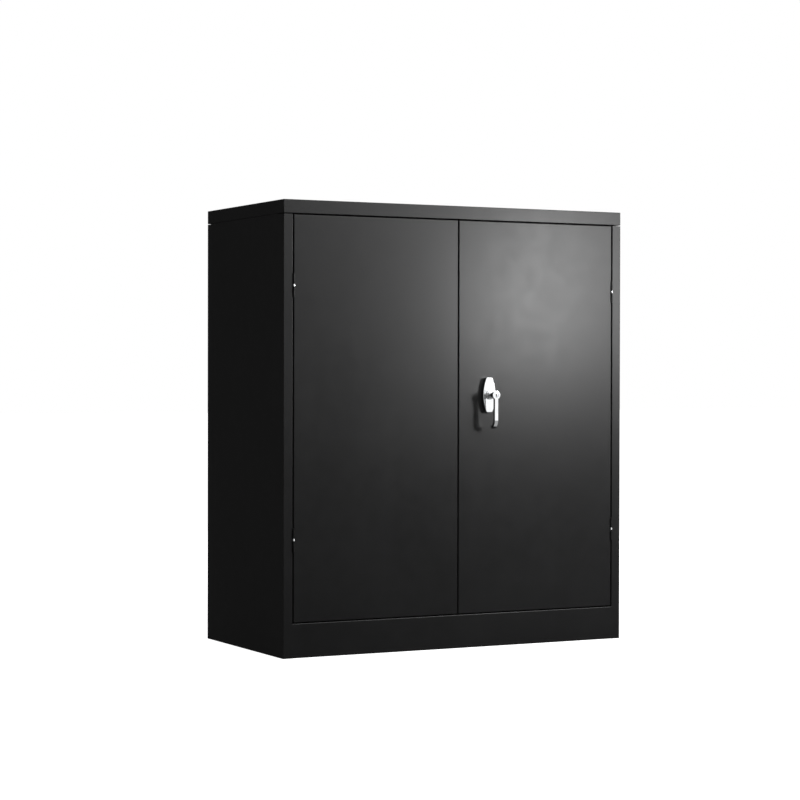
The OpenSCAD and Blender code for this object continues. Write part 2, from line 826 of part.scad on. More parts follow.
// Half of the hub's outline: radius across, distance out of the doors' face upwards.
module hub_profile(neck_top) {
  collar_t = 3;
  collar_r = 11;
  flare = head_r - hub_r - 0.5;
  collar_low = escutcheon_t + hub_gap;
  translate([0, -cam_y]) square([hub_r, cam_y + neck_top + eps]);
  translate([0, collar_low]) square([collar_r, collar_t]);
  difference() {
    translate([0, neck_top - flare]) square([hub_r + flare, flare + eps]);
    translate([hub_r + flare, neck_top - flare]) circle(flare);
  }
}

// The lock plug, with its keyhole upright.
module lock_plug() {
  slit_w = 1.8;
  slit_h = 8;
  slit_d = 16;
  color(chrome) at_handle() difference() {
    rod_along_y(0, plug_recess - handle_reach, 0, plug_r, plug_l);
    translate([-slit_w / 2, -handle_reach - eps, -slit_h / 2]) cube([slit_w, slit_d, slit_h]);
  }
}

// The cam plate on the hub's shank: two crank pins and the tongue, which points up at rest.
module latch_cam() {
  reach = tongue_l - tongue_w / 2;
  pin_l = yoke_y + yoke_t + 1 - cam_y;
  color(zinc) at_handle() difference() {
    union() {
      along_y(cam_y, cam_t) {
        circle(cam_hub_r);
        translate([-tongue_w / 2, 0]) square([tongue_w, reach]);
        translate([0, reach]) circle(tongue_w / 2);
      }
      rod_along_y(crank_low, cam_y, -crank_low, crank_pin_r, pin_l);
      rod_along_y(-crank_low, cam_y, crank_low, crank_pin_r, pin_l);
    }
    along_y(cam_y - eps, cam_t + 2 * eps) square(shank_w, center = true);
  }
}

module cam_nut() {
  color(zinc) at_handle() difference() {
    along_y(cam_back, nut_t) circle(r = cam_nut_r, $fn = 6);
    rod_along_y(0, cam_back - eps, 0, thread_r + thread_clear, nut_t + 2 * eps);
  }
}

// A lock rod with the slotted yoke that its crank pin slides in, drawn for the upper rod: end
// is how far its tip lies from the handle's axis.
module lock_rod(end) {
  plate_w = yoke_slot_w + 2 * yoke_wall;
  plate_h = yoke_slot_h + 2 * yoke_wall;
  slot_round = yoke_slot_h / 2;
  straight = yoke_slot_w - yoke_slot_h;
  point = 2;
  translate([rod_x, 0, -crank_low]) {
    difference() {
      along_y(yoke_y, yoke_t) translate([-plate_w / 2, -plate_h / 2])
        rounded_rect(plate_w, plate_h, yoke_wall);
      along_y(yoke_y - eps, yoke_t + 2 * eps) {
        square([max(straight, 0.1), yoke_slot_h], center = true);
        for (x = [-0.5, 0.5]) translate([x * max(straight, 0.1), 0]) circle(slot_round);
      }
    }
    translate([0, rod_y, plate_h / 2 - 1]) cylinder(h = end + crank_low - plate_h / 2 + 1 - point, r = rod_r);
    translate([0, rod_y, end + crank_low - point]) cylinder(h = point, r1 = rod_r, r2 = rod_r - 1);
  }
}

module upper_lock_rod() {
  color(zinc) at_handle() lock_rod(door_top - rod_rest - handle_z);
}

module lower_lock_rod() {
  color(zinc) at_handle() rotate([0, 180, 0]) lock_rod(handle_z - door_z - rod_rest);
}

// A guide block on the door's inner face that a rod runs through, with its middle at x and z.
module rod_guide(x, z) {
  height = 14;
  wall = 3;
  base_w = 2 * (rod_r + 3 * wall);
  color(rubber) in_place() translate([x, 0, z - height / 2]) difference() {
    union() {
      translate([-base_w / 2, sheet_t, 0]) cube([base_w, wall, height]);
      translate([-rod_r - wall, sheet_t, 0]) cube([2 * (rod_r + wall), rod_y - sheet_t, height]);
      translate([0, rod_y, 0]) cylinder(h = height, r = rod_r + 2);
    }
    translate([0, rod_y, -eps]) cylinder(h = height + 2 * eps, r = rod_r + guide_clear);
  }
}

// ---------- the object ----------

drilled_side_panel();  // left_side_panel
right_of() drilled_side_panel();  // right_side_panel
back_panel();
top_cap();
header_rail();
floor_pan();
kick_plate();
upright(upright_ys[0]);  // left_front_upright
upright(upright_ys[1]);  // left_rear_upright
right_of() upright(upright_ys[0]);  // right_front_upright
right_of() upright(upright_ys[1]);  // right_rear_upright
shelf(lower_shelf_slot);  // lower_shelf
shelf(upper_shelf_slot);  // upper_shelf
shelf_clips(lower_shelf_slot);  // lower_shelf_clips
shelf_clips(upper_shelf_slot);  // upper_shelf_clips
cap_screws();
cap_nuts();
back_panel_rivets();
door_buffers();
left_door();
door_stiffener(-door_x - door_w / 2);  // left_door_stiffener
left_door_keeper();
right_door();
door_stiffener(door_x + door_w / 2);  // right_door_stiffener
frame_leaf(-1, upper_hinge_z);  // left_upper_hinge_frame_leaf
door_leaf(-1, upper_hinge_z);  // left_upper_hinge_door_leaf
hinge_pin(-1, upper_hinge_z);  // left_upper_hinge_pin
hinge_bush(-1, upper_hinge_z);  // left_upper_hinge_bush
frame_leaf(-1, lower_hinge_z);  // left_lower_hinge_frame_leaf
door_leaf(-1, lower_hinge_z);  // left_lower_hinge_door_leaf
hinge_pin(-1, lower_hinge_z);  // left_lower_hinge_pin
hinge_bush(-1, lower_hinge_z);  // left_lower_hinge_bush
frame_leaf(1, upper_hinge_z);  // right_upper_hinge_frame_leaf
door_leaf(1, upper_hinge_z);  // right_upper_hinge_door_leaf
hinge_pin(1, upper_hinge_z);  // right_upper_hinge_pin
hinge_bush(1, upper_hinge_z);  // right_upper_hinge_bush
frame_leaf(1, lower_hinge_z);  // right_lower_hinge_frame_leaf
door_leaf(1, lower_hinge_z);  // right_lower_hinge_door_leaf
hinge_pin(1, lower_hinge_z);  // right_lower_hinge_pin
hinge_bush(1, lower_hinge_z);  // right_lower_hinge_bush
escutcheon();
bearing_plate();
escutcheon_screws();
handle_lever();
lock_plug();
latch_cam();
cam_nut();
upper_lock_rod();
lower_lock_rod();
rod_guide(handle_x + rod_x, door_top - guide_inset);  // upper_rod_guide
rod_guide(handle_x - rod_x, door_z + guide_inset);  // lower_rod_guide
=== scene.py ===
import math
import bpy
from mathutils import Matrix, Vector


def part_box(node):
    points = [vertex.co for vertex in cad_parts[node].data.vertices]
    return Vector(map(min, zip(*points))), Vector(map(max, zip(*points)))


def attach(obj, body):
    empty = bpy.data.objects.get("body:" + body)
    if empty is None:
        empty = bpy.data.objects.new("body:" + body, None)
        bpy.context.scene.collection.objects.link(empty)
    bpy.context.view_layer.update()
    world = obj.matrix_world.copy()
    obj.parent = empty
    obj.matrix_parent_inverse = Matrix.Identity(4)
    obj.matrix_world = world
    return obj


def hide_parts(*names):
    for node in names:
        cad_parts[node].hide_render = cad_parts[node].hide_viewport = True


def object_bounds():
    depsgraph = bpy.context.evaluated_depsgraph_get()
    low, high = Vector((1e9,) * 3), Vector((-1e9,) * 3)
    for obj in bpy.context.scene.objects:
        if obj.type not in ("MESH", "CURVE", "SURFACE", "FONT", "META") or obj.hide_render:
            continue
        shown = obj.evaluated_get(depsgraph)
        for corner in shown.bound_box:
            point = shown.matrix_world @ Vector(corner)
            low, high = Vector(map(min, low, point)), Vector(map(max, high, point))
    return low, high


bl_info = {
    "name": "Counter-height steel cabinet",
    "version": (1, 0, 0),
    "blender": (4, 5, 0),
    "location": "View3D > Sidebar > Cabinet",
    "description": "Finishes, cast handle, lock, fasteners and studio for a two-door steel cabinet",
    "category": "Add Mesh",
}

import bmesh
import bpy
from bpy.props import FloatProperty, FloatVectorProperty, PointerProperty
from bpy.types import Operator, Panel, PropertyGroup
from mathutils import Matrix, Vector

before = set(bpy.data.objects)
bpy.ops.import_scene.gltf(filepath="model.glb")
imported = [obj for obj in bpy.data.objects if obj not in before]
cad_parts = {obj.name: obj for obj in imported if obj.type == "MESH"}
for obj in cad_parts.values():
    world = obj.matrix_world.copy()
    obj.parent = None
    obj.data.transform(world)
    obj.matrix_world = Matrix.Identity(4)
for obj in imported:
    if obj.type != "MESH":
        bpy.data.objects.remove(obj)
cad_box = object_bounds()

MM = 0.001
PLUG_CLEARANCE = 0.05 * MM
THREAD_BORE = 3.02 * MM
SMOOTH_ANGLE = math.radians(38)
QUARTER_TURN = math.pi / 2

# Where the handle sits, and the sizes that its pieces take from the CAD model.
plate_low, plate_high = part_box("escutcheon")
plug_low, plug_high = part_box("lock_plug")
lever_low, lever_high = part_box("handle_lever")
door_face_y = plate_high.y
handle_x = (plug_low.x + plug_high.x) / 2
handle_z = (plug_low.z + plug_high.z) / 2
handle_reach = door_face_y - lever_low.y

# The CAD nodes by what they are finished in.
COATED_CARCASS = (
    "left_side_panel", "right_side_panel", "back_panel", "top_cap", "header_rail", "floor_pan",
    "kick_plate", "left_front_upright", "left_rear_upright", "right_front_upright",
    "right_rear_upright",
)
COATED_DOORS = ("left_door", "left_door_stiffener", "right_door", "right_door_stiffener")
COATED_SHELVES = ("lower_shelf", "upper_shelf")
SHELF_CLIPS = ("lower_shelf_clips", "upper_shelf_clips")
HINGES = ("left_upper_hinge", "left_lower_hinge", "right_upper_hinge", "right_lower_hinge")
PLATED_LATCH = ("left_door_keeper", "bearing_plate", "latch_cam", "upper_lock_rod", "lower_lock_rod")
ROD_GUIDES = ("upper_rod_guide", "lower_rod_guide")


# ---------- sizes, colours and studio settings ----------

class FinishSettings(PropertyGroup):
    coat_colour: FloatVectorProperty(
        name="Powder coat", description="Colour of the satin powder coat on the sheet steel",
        subtype="COLOR", size=3, min=0, max=1, default=(0.0085, 0.0085, 0.0088))
    coat_roughness: FloatProperty(
        name="Coat roughness", description="0 is mirror gloss, 1 is dead matt",
        subtype="FACTOR", min=0.1, max=0.9, default=0.345)
    coat_grain: FloatProperty(
        name="Coat grain", description="Size of the fine ripple that powder coat dries with",
        unit="LENGTH", min=0.0005, max=0.01, default=0.0022)
    edge_wear: FloatProperty(
        name="Edge wear", description="How far the coat is rubbed along the bends and cut edges",
        subtype="FACTOR", min=0, max=1, default=0.15)
    zinc_colour: FloatVectorProperty(
        name="Zinc plate", description="Colour of the plated latch parts, clips and screws",
        subtype="COLOR", size=3, min=0, max=1, default=(0.55, 0.56, 0.58))
    chrome_colour: FloatVectorProperty(
        name="Chrome plate", description="Colour of the handle's plating",
        subtype="COLOR", size=3, min=0, max=1, default=(0.78, 0.79, 0.8))
    chrome_roughness: FloatProperty(
        name="Chrome roughness", description="0 is mirror gloss",
        subtype="FACTOR", min=0.02, max=0.5, default=0.08)
    rubber_colour: FloatVectorProperty(
        name="Rubber", description="Colour of the door buffers",
        subtype="COLOR", size=3, min=0, max=1, default=(0.022, 0.021, 0.02))
    nylon_colour: FloatVectorProperty(
        name="Moulded nylon", description="Colour of the rod guides",
        subtype="COLOR", size=3, min=0, max=1, default=(0.045, 0.045, 0.048))


class EscutcheonSizes(PropertyGroup):
    length: FloatProperty(
        name="Length", description="Height of the plate on the door",
        unit="LENGTH", min=0.07, max=0.11, default=plate_high.z - plate_low.z)
    width: FloatProperty(
        name="Width", description="Width across the middle",
        unit="LENGTH", min=0.03, max=0.045, default=plate_high.x - plate_low.x)
    end_width: FloatProperty(
        name="End width", description="Width of the cut-off ends",
        unit="LENGTH", min=0.01, max=0.025, default=0.016)
    depth: FloatProperty(
        name="Depth", description="How far the plate stands off the door",
        unit="LENGTH", min=0.005, max=0.018, default=plate_high.y - plate_low.y)
    shoulder: FloatProperty(
        name="Shoulder", description="Radius of the rounded rim",
        unit="LENGTH", min=0.0005, max=0.004, default=0.0028)
    crown: FloatProperty(
        name="Crown", description="How far the face falls from the hub to the ends",
        unit="LENGTH", min=0, max=0.002, default=0.0002)
    hole_radius: FloatProperty(
        name="Hole radius", description="Radius of the hole for the hub",
        unit="LENGTH", min=0.0078, max=0.01, default=0.0083)


class SwingLeverSizes(PropertyGroup):
    reach: FloatProperty(
        name="Reach", description="From the door's face to the front of the lever",
        unit="LENGTH", min=0.04, max=0.06, default=handle_reach)
    head_radius: FloatProperty(
        name="Head radius", description="Radius of the round head that holds the lock",
        unit="LENGTH", min=0.009, max=0.012, default=0.0105)
    head_depth: FloatProperty(
        name="Head depth", description="Thickness of the round head",
        unit="LENGTH", min=0.008, max=0.012, default=0.0095)
    arm_depth: FloatProperty(
        name="Arm depth", description="Thickness of the arm",
        unit="LENGTH", min=0.005, max=0.009, default=0.0075)
    arm_length: FloatProperty(
        name="Arm length", description="From the hub's axis to the tip",
        unit="LENGTH", min=0.07, max=0.09, default=handle_z - lever_low.z)
    root_width: FloatProperty(
        name="Root width", description="Width of the arm at the head",
        unit="LENGTH", min=0.012, max=0.018, default=0.015)
    tip_width: FloatProperty(
        name="Tip width", description="Width of the arm at its tip",
        unit="LENGTH", min=0.007, max=0.012, default=0.0095)
    curl_radius: FloatProperty(
        name="Curl radius", description="Radius that the end curls towards the door with",
        unit="LENGTH", min=0.016, max=0.026, default=0.021)
    edge_round: FloatProperty(
        name="Edge rounding", description="Radius of the cast edges",
        unit="LENGTH", min=0.0004, max=0.002, default=0.0007)
    hub_radius: FloatProperty(
        name="Hub radius", description="Radius of the neck between the head and the plate",
        unit="LENGTH", min=0.007, max=0.0085, default=0.008)
    collar_radius: FloatProperty(
        name="Collar radius", description="Radius of the collar that covers the plate's hole",
        unit="LENGTH", min=0.0095, max=0.013, default=(lever_high.x - lever_low.x) / 2)


class LockPlugSizes(PropertyGroup):
    radius: FloatProperty(
        name="Radius", description="Radius of the key plug",
        unit="LENGTH", min=0.005, max=0.006, default=0.0056)
    recess: FloatProperty(
        name="Recess", description="How far the plug's face lies behind the head's",
        unit="LENGTH", min=0, max=0.001, default=0.0004)
    keyway_width: FloatProperty(
        name="Keyway width", description="Width of the slot for the key",
        unit="LENGTH", min=0.0012, max=0.003, default=0.0028)
    keyway_height: FloatProperty(
        name="Keyway height", description="Height of the slot for the key",
        unit="LENGTH", min=0.006, max=0.009, default=0.008)
    keyway_depth: FloatProperty(
        name="Keyway depth", description="How deep the slot goes",
        unit="LENGTH", min=0.008, max=0.02, default=0.016)


class StudioSettings(PropertyGroup):
    lens: FloatProperty(
        name="Lens", description="Focal length of the camera",
        unit="CAMERA", min=20, max=300, default=100.64)
    ambient: FloatProperty(
        name="Ambient light", description="Level of the soft light from all sides",
        subtype="FACTOR", min=0, max=1, default=0.45)
    surroundings: FloatProperty(
        name="Mirrored surroundings", description="Level of the background that the coat mirrors",
        subtype="FACTOR", min=0, max=1, default=0.052)
    surroundings_behind: FloatProperty(
        name="Mirrored from behind", description="The same level behind the cabinet and to its left",
        subtype="FACTOR", min=0, max=1, default=0.036)
    tent: FloatProperty(
        name="White tent", description="Level of the surroundings that the plated pieces mirror",
        subtype="FACTOR", min=0, max=2, default=1.2)
    tent_side: FloatProperty(
        name="Tent's dark side", description="Their level at the left and behind",
        subtype="FACTOR", min=0, max=1, default=0.12)
    tent_floor: FloatProperty(
        name="Tent's floor", description="Their level below the horizon",
        subtype="FACTOR", min=0, max=1, default=0.38)
    floor_level: FloatProperty(
        name="Floor level", description="The floor's own share of white before the lamps add theirs",
        subtype="FACTOR", min=0, max=1, default=0.95)
    key_power: FloatProperty(
        name="Key lamp", description="Power of the strip lamp at the front right",
        unit="POWER", min=0, max=100, default=5.6)
    right_power: FloatProperty(
        name="Right lamp", description="Power of the soft lamp that widens the key lamp's gleam",
        unit="POWER", min=0, max=100, default=4.3)
    high_power: FloatProperty(
        name="High lamp", description="Power of the tall soft lamp high at the front right",
        unit="POWER", min=0, max=300, default=48.0)
    back_power: FloatProperty(
        name="Back lamp", description="Power of the soft lamp behind, for the views from there",
        unit="POWER", min=0, max=300, default=26.0)


# ---------- node helpers ----------

def feed(tree, socket, value):
    """Links a node's output to a socket, or sets the socket to a plain value."""
    if isinstance(value, bpy.types.NodeSocket):
        tree.links.new(value, socket)
    else:
        socket.default_value = value


def math_node(tree, operation, *values):
    """The result of a math operation on outputs or plain values."""
    node = tree.nodes.new("ShaderNodeMath")
    node.operation = operation
    for socket, value in zip(node.inputs, values):
        feed(tree, socket, value)
    return node.outputs[0]


def dot_product(tree, first, second):
    """The dot product of two directions."""
    node = tree.nodes.new("ShaderNodeVectorMath")
    node.operation = "DOT_PRODUCT"
    feed(tree, node.inputs[0], first)
    feed(tree, node.inputs[1], second)
    return node.outputs["Value"]


class Finish:
    """A material under construction, with its shader and a short way to add and join nodes."""

    def __init__(self, name):
        self.material = bpy.data.materials.new(name)
        self.material.use_nodes = True
        self.tree = self.material.node_tree
        self.shader = self.tree.nodes["Principled BSDF"]
        self.place = self.add("ShaderNodeTexCoord").outputs["Object"]

    def add(self, kind, settings=None, **inputs):
        node = self.tree.nodes.new(kind)
        for key, value in (settings or {}).items():
            setattr(node, key, value)
        for key, value in inputs.items():
            feed(self.tree, node.inputs[key.replace("_", " ")], value)
        return node

    def set(self, name, value):
        feed(self.tree, self.shader.inputs[name], value)

    def noise(self, size, detail=2.0, stretch=(1, 1, 1), roughness=0.5):
        """Noise whose blotches are about size metres across, drawn out along an axis by stretch."""
        where = self.place
        if stretch != (1, 1, 1):
            scale = tuple(1 / length for length in stretch)
            where = self.add("ShaderNodeMapping", Vector=where, Scale=scale).outputs[0]
        return self.add("ShaderNodeTexNoise", Vector=where, Scale=1 / size, Detail=detail,
                        Roughness=roughness).outputs["Fac"]

    def ranged(self, value, low, high, start=0.3, end=0.7):
        """Maps a value between start and end to between low and high."""
        node = self.add("ShaderNodeMapRange", {"clamp": True})
        for socket, given in zip(node.inputs[:5], (value, start, end, low, high)):
            feed(self.tree, socket, given)
        return node.outputs[0]

    def sum(self, first, second, operation="ADD"):
        return math_node(self.tree, operation, first, second)

    def tint(self, share, first, second):
        """A colour between two by share."""
        node = self.add("ShaderNodeMix", {"data_type": "RGBA"}, Factor=share)
        colours = [socket for socket in node.inputs if socket.type == "RGBA"]
        for socket, given in zip(colours, (first, second)):
            plain = not isinstance(given, bpy.types.NodeSocket)
            feed(self.tree, socket, (*given[:3], 1) if plain else given)
        return next(socket for socket in node.outputs if socket.type == "RGBA")

    def bumps(self, *layers):
        """Joins bump layers, each given as its height value, its height in metres and its strength."""
        normal = None
        for height, distance, strength in layers:
            node = self.add("ShaderNodeBump", Height=height, Distance=distance, Strength=strength)
            if normal is not None:
                self.tree.links.new(normal, node.inputs["Normal"])
            normal = node.outputs[0]
        self.set("Normal", normal)

    def recess(self):
        """1 inside the recesses that a piece marks for painted shade, and 0 elsewhere."""
        return self.add("ShaderNodeAttribute", {"attribute_name": "recess"}).outputs["Fac"]

    def edges(self, radius):
        """1 on sharp outer bends and cut edges, 0 on flats, by how far a rounded normal turns away."""
        sharp, flat = 0.86, 0.985
        soft = self.add("ShaderNodeBevel", {"samples": 4}, Radius=radius).outputs[0]
        true = self.add("ShaderNodeNewGeometry").outputs["Normal"]
        return self.ranged(dot_product(self.tree, soft, true), 1.0, 0.0, sharp, flat)


def scaled(colour, factor):
    """A colour made lighter or darker, and no lighter than white."""
    return tuple(min(1.0, part * factor) for part in colour[:3])


def powder_coat(s):
    f = Finish("satin_black_powder_coat")
    broad = f.noise(0.28, detail=3)
    patchy = f.noise(0.035, detail=3)
    speck = f.noise(0.0009, detail=1)
    ripple = f.noise(s.coat_grain, detail=2)
    cloud = f.tint(f.ranged(broad, 0, 1), scaled(s.coat_colour, 0.86), scaled(s.coat_colour, 1.12))
    rubbed = f.sum(f.edges(0.0011), f.ranged(patchy, 0, s.edge_wear, 0.42, 0.62), "MULTIPLY")
    f.set("Base Color", f.tint(rubbed, cloud, scaled(s.coat_colour, 2.5)))
    shine = f.sum(f.ranged(patchy, -0.015, 0.015), f.ranged(speck, -0.02, 0.02))
    shine = f.sum(shine, f.ranged(broad, -0.012, 0.012))
    polished = f.sum(rubbed, 0.12, "MULTIPLY")
    f.set("Roughness", f.sum(f.sum(shine, s.coat_roughness), polished, "SUBTRACT"))
    f.set("IOR", 1.5)
    f.bumps((ripple, 0.00002, 0.5), (speck, 0.000008, 0.4))
    return f.material


def zinc_plate(s):
    f = Finish("bright_zinc_plate")
    cloud = f.noise(0.02, detail=3)
    drawn = f.noise(0.0006, detail=2, stretch=(1, 1, 14))
    tint = f.tint(f.ranged(cloud, 0, 1), scaled(s.zinc_colour, 0.88), (0.6, 0.6, 0.57))
    rubbed = f.tint(f.sum(f.edges(0.0006), 0.5, "MULTIPLY"), tint, (0.72, 0.73, 0.74))
    # Painted shade: the marked recesses are painted near black.
    f.set("Base Color", f.tint(f.recess(), rubbed, (0.03, 0.028, 0.025)))
    f.set("Metallic", 1.0)
    f.set("Roughness", f.sum(f.ranged(cloud, 0.25, 0.36), f.ranged(drawn, -0.04, 0.04)))
    f.bumps((drawn, 0.00001, 0.4), (cloud, 0.00002, 0.3))
    return f.material


def chrome_plate(s):
    f = Finish("polished_chrome_plate")
    smudge = f.noise(0.012, detail=4, roughness=0.6)
    casting = f.noise(0.007, detail=1)
    hair = f.noise(0.0004, detail=1, stretch=(1, 1, 20))
    bright = f.tint(f.ranged(smudge, 0, 1), scaled(s.chrome_colour, 0.95), s.chrome_colour)
    # Painted shade: the marked recesses, such as the keyway, are painted near black.
    f.set("Base Color", f.tint(f.recess(), bright, (0.012, 0.011, 0.01)))
    f.set("Metallic", 1.0)
    wiped = f.sum(f.ranged(smudge, -0.02, 0.035), f.ranged(hair, -0.01, 0.01))
    f.set("Roughness", f.sum(wiped, s.chrome_roughness))
    f.bumps((casting, 0.00003, 0.25), (hair, 0.000004, 0.2))
    return f.material


def black_rubber(s):
    f = Finish("black_rubber")
    mottle = f.noise(0.004, detail=3)
    grain = f.noise(0.0003, detail=2)
    dark, light = scaled(s.rubber_colour, 0.8), scaled(s.rubber_colour, 1.25)
    f.set("Base Color", f.tint(f.ranged(mottle, 0, 1), dark, light))
    f.set("Roughness", f.ranged(mottle, 0.68, 0.82))
    f.bumps((grain, 0.00002, 0.5))
    return f.material


def moulded_nylon(s):
    f = Finish("moulded_black_nylon")
    mottle = f.noise(0.008, detail=2)
    spark = f.noise(0.0005, detail=1)
    dark, light = scaled(s.nylon_colour, 0.85), scaled(s.nylon_colour, 1.15)
    f.set("Base Color", f.tint(f.ranged(mottle, 0, 1), dark, light))
    f.set("Roughness", f.sum(f.ranged(mottle, 0.44, 0.54), f.ranged(spark, -0.03, 0.03)))
    f.bumps((spark, 0.00002, 0.4))
    return f.material


FINISHES = {
    "black_coat": powder_coat,
    "zinc_plate": zinc_plate,
    "chrome": chrome_plate,
    "rubber": black_rubber,
    "guide_plastic": moulded_nylon,
}
PLATED = ("zinc_plate", "chrome")
made_finishes = {}
plated_pieces = bpy.data.collections.new("plated_pieces")


def finish_for(slot):
    """The material for one of the record's slots, made the first time it is asked for."""
    if slot not in made_finishes:
        made_finishes[slot] = FINISHES[slot](bpy.context.scene.cabinet_finish)
    return made_finishes[slot]


def paint(nodes, slot):
    """Gives CAD nodes the material of a slot."""
    for name in nodes:
        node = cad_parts[name]
        if not node.material_slots:
            node.data.materials.append(None)
        for place in node.material_slots:
            place.material = finish_for(slot)
        if slot in PLATED:
            plated_pieces.objects.link(node)


# ---------- mesh helpers ----------

def verts_in(geometry):
    """The points among what a mesh operation gives back."""
    return [item for item in geometry if isinstance(item, bmesh.types.BMVert)]


def open_edges_in(geometry):
    """The edges among it that have a face on one side only."""
    return [item for item in geometry if isinstance(item, bmesh.types.BMEdge) and item.is_boundary]


def edges_of(verts):
    """The edges that meet at the points."""
    return list({edge for vert in verts for edge in vert.link_edges})


def turned(outline, segments=48, closed=False):
    """A shape turned about the Z axis from its outline, given as radius and height pairs."""
    bm = bmesh.new()
    points = [bm.verts.new((radius, 0, height)) for radius, height in outline]
    ends = points[1:] + points[:1] if closed else points[1:]
    lines = [bm.edges.new(pair) for pair in zip(points, ends)]
    bmesh.ops.spin(bm, geom=points + lines, cent=(0, 0, 0), axis=(0, 0, 1), angle=math.tau,
                   steps=segments, use_merge=True, use_duplicate=False)
    bmesh.ops.remove_doubles(bm, verts=bm.verts, dist=1e-6)
    bmesh.ops.recalc_face_normals(bm, faces=bm.faces)
    return bm


def sharp_edges(bm, degrees):
    """The edges where two faces meet at more than an angle."""
    angle = math.radians(degrees)
    return [edge for edge in bm.edges if edge.is_manifold and edge.calc_face_angle() > angle]


def is_level(edge, share):
    """True for an edge whose ends differ in height by less than share."""
    return abs(edge.verts[0].co.z - edge.verts[1].co.z) < share


def soften(bm, edges, size, steps):
    """Rounds the given edges of a shape."""
    bmesh.ops.bevel(bm, geom=edges, offset=size, offset_type="OFFSET", segments=steps, profile=0.5,
                    affect="EDGES", clamp_overlap=True, material=-1)


def quarter_circle(radius):
    """Points along a quarter circle, as their distances from the two sides of its corner."""
    angles = [step * QUARTER_TURN / 4 for step in range(5)]
    return [(radius * (1 - math.cos(angle)), radius * (1 - math.sin(angle))) for angle in angles]


def shade(bm, verts):
    """Marks the inside of a deep recess, where the plating is painted dark as painted shade."""
    for vert in verts:
        vert[bm.verts.layers.float["recess"]] = 1.0


def mesh_from(name, bm):
    """A mesh with a finished shape."""
    mesh = bpy.data.meshes.new(name)
    bm.to_mesh(mesh)
    bm.free()
    return mesh


def new_object(name, data):
    """A new object in the scene with its mesh, lamp or camera."""
    made = bpy.data.objects.new(name, data)
    bpy.context.scene.collection.objects.link(made)
    return made


def join_to(target, extra):
    """Moves all of extra's mesh into target as one more solid of it."""
    mesh = mesh_from("loose_solid", extra)
    target.from_mesh(mesh)
    bpy.data.meshes.remove(mesh)


def piece_from(bm, name, place, slot, body, *replaced):
    """Turns a shape into a finished piece that rides on a body and stands for CAD nodes."""
    bmesh.ops.transform(bm, matrix=place, verts=bm.verts)
    mesh = mesh_from(name, bm)
    for polygon in mesh.polygons:
        polygon.use_smooth = True
    mesh.set_sharp_from_angle(angle=SMOOTH_ANGLE)
    mesh.materials.append(finish_for(slot))
    piece = new_object(name, mesh)
    piece.modifiers.new("even_shading", "WEIGHTED_NORMAL").keep_sharp = True
    if slot in PLATED:
        plated_pieces.objects.link(piece)
    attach(piece, body)
    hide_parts(*replaced)


def solids_of(node):
    """The boxes of a CAD node's separate solids, each as its lowest and highest corner."""
    bm = bmesh.new()
    bm.from_mesh(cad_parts[node].data)
    bmesh.ops.remove_doubles(bm, verts=bm.verts, dist=1e-6)
    waiting = set(bm.verts)
    boxes = []
    while waiting:
        front = [waiting.pop()]
        solid = []
        while front:
            vert = front.pop()
            solid.append(vert.co.copy())
            near = {edge.other_vert(vert) for edge in vert.link_edges} & waiting
            waiting -= near
            front.extend(near)
        boxes.append((Vector(map(min, *solid)), Vector(map(max, *solid))))
    bm.free()
    return boxes


def one_per_solid(node, drawn, turn, axis, side):
    """A shape for each solid of a CAD node: drawn from the radius and length of the solid's box,
    turned about X, and set in the middle of the box's low (0) or high (1) side along an axis."""
    whole = bmesh.new()
    for low, high in solids_of(node):
        bm = drawn((high.x - low.x) / 2, (high - low)[axis])
        seat = (low + high) / 2
        seat[axis] = (low, high)[side][axis]
        place = Matrix.Translation(seat) @ Matrix.Rotation(turn, 4, "X")
        bmesh.ops.transform(bm, matrix=place, verts=bm.verts)
        join_to(whole, bm)
    return whole


def handle_place():
    """From a drawing of the handle, with its hub as origin, X right, Y up and Z out of the door,
    to its place on the right door."""
    return Matrix.Translation((handle_x, door_face_y, handle_z)) @ Matrix.Rotation(QUARTER_TURN, 4, "X")


def circle_around(bm, outline, radius):
    """Fills the flat band between an outline and a circle, and gives the circle's edges."""
    circle = edges_of(bmesh.ops.create_circle(bm, segments=len(outline), radius=radius)["verts"])
    bmesh.ops.bridge_loops(bm, edges=outline + circle)
    return circle


def thicken(bm, height):
    """Makes a flat shape on Z = 0 into a slab."""
    top = bmesh.ops.extrude_face_region(bm, geom=bm.faces[:])["geom"]
    bmesh.ops.translate(bm, verts=verts_in(top), vec=(0, 0, height))
    bmesh.ops.recalc_face_normals(bm, faces=bm.faces)


def draw_rim(bm, rim, radius, steps):
    """Draws a round rim at Z = 0 out through radius and height steps, and closes the last one."""
    level = 0.0
    for next_radius, height in steps:
        grown = bmesh.ops.extrude_edge_only(bm, edges=rim)["geom"]
        growth = next_radius / radius
        bmesh.ops.scale(bm, verts=verts_in(grown), vec=(growth, growth, 1))
        bmesh.ops.translate(bm, verts=verts_in(grown), vec=(0, 0, height - level))
        rim = open_edges_in(grown)
        radius, level = next_radius, height
    bmesh.ops.edgeloop_fill(bm, edges=rim)


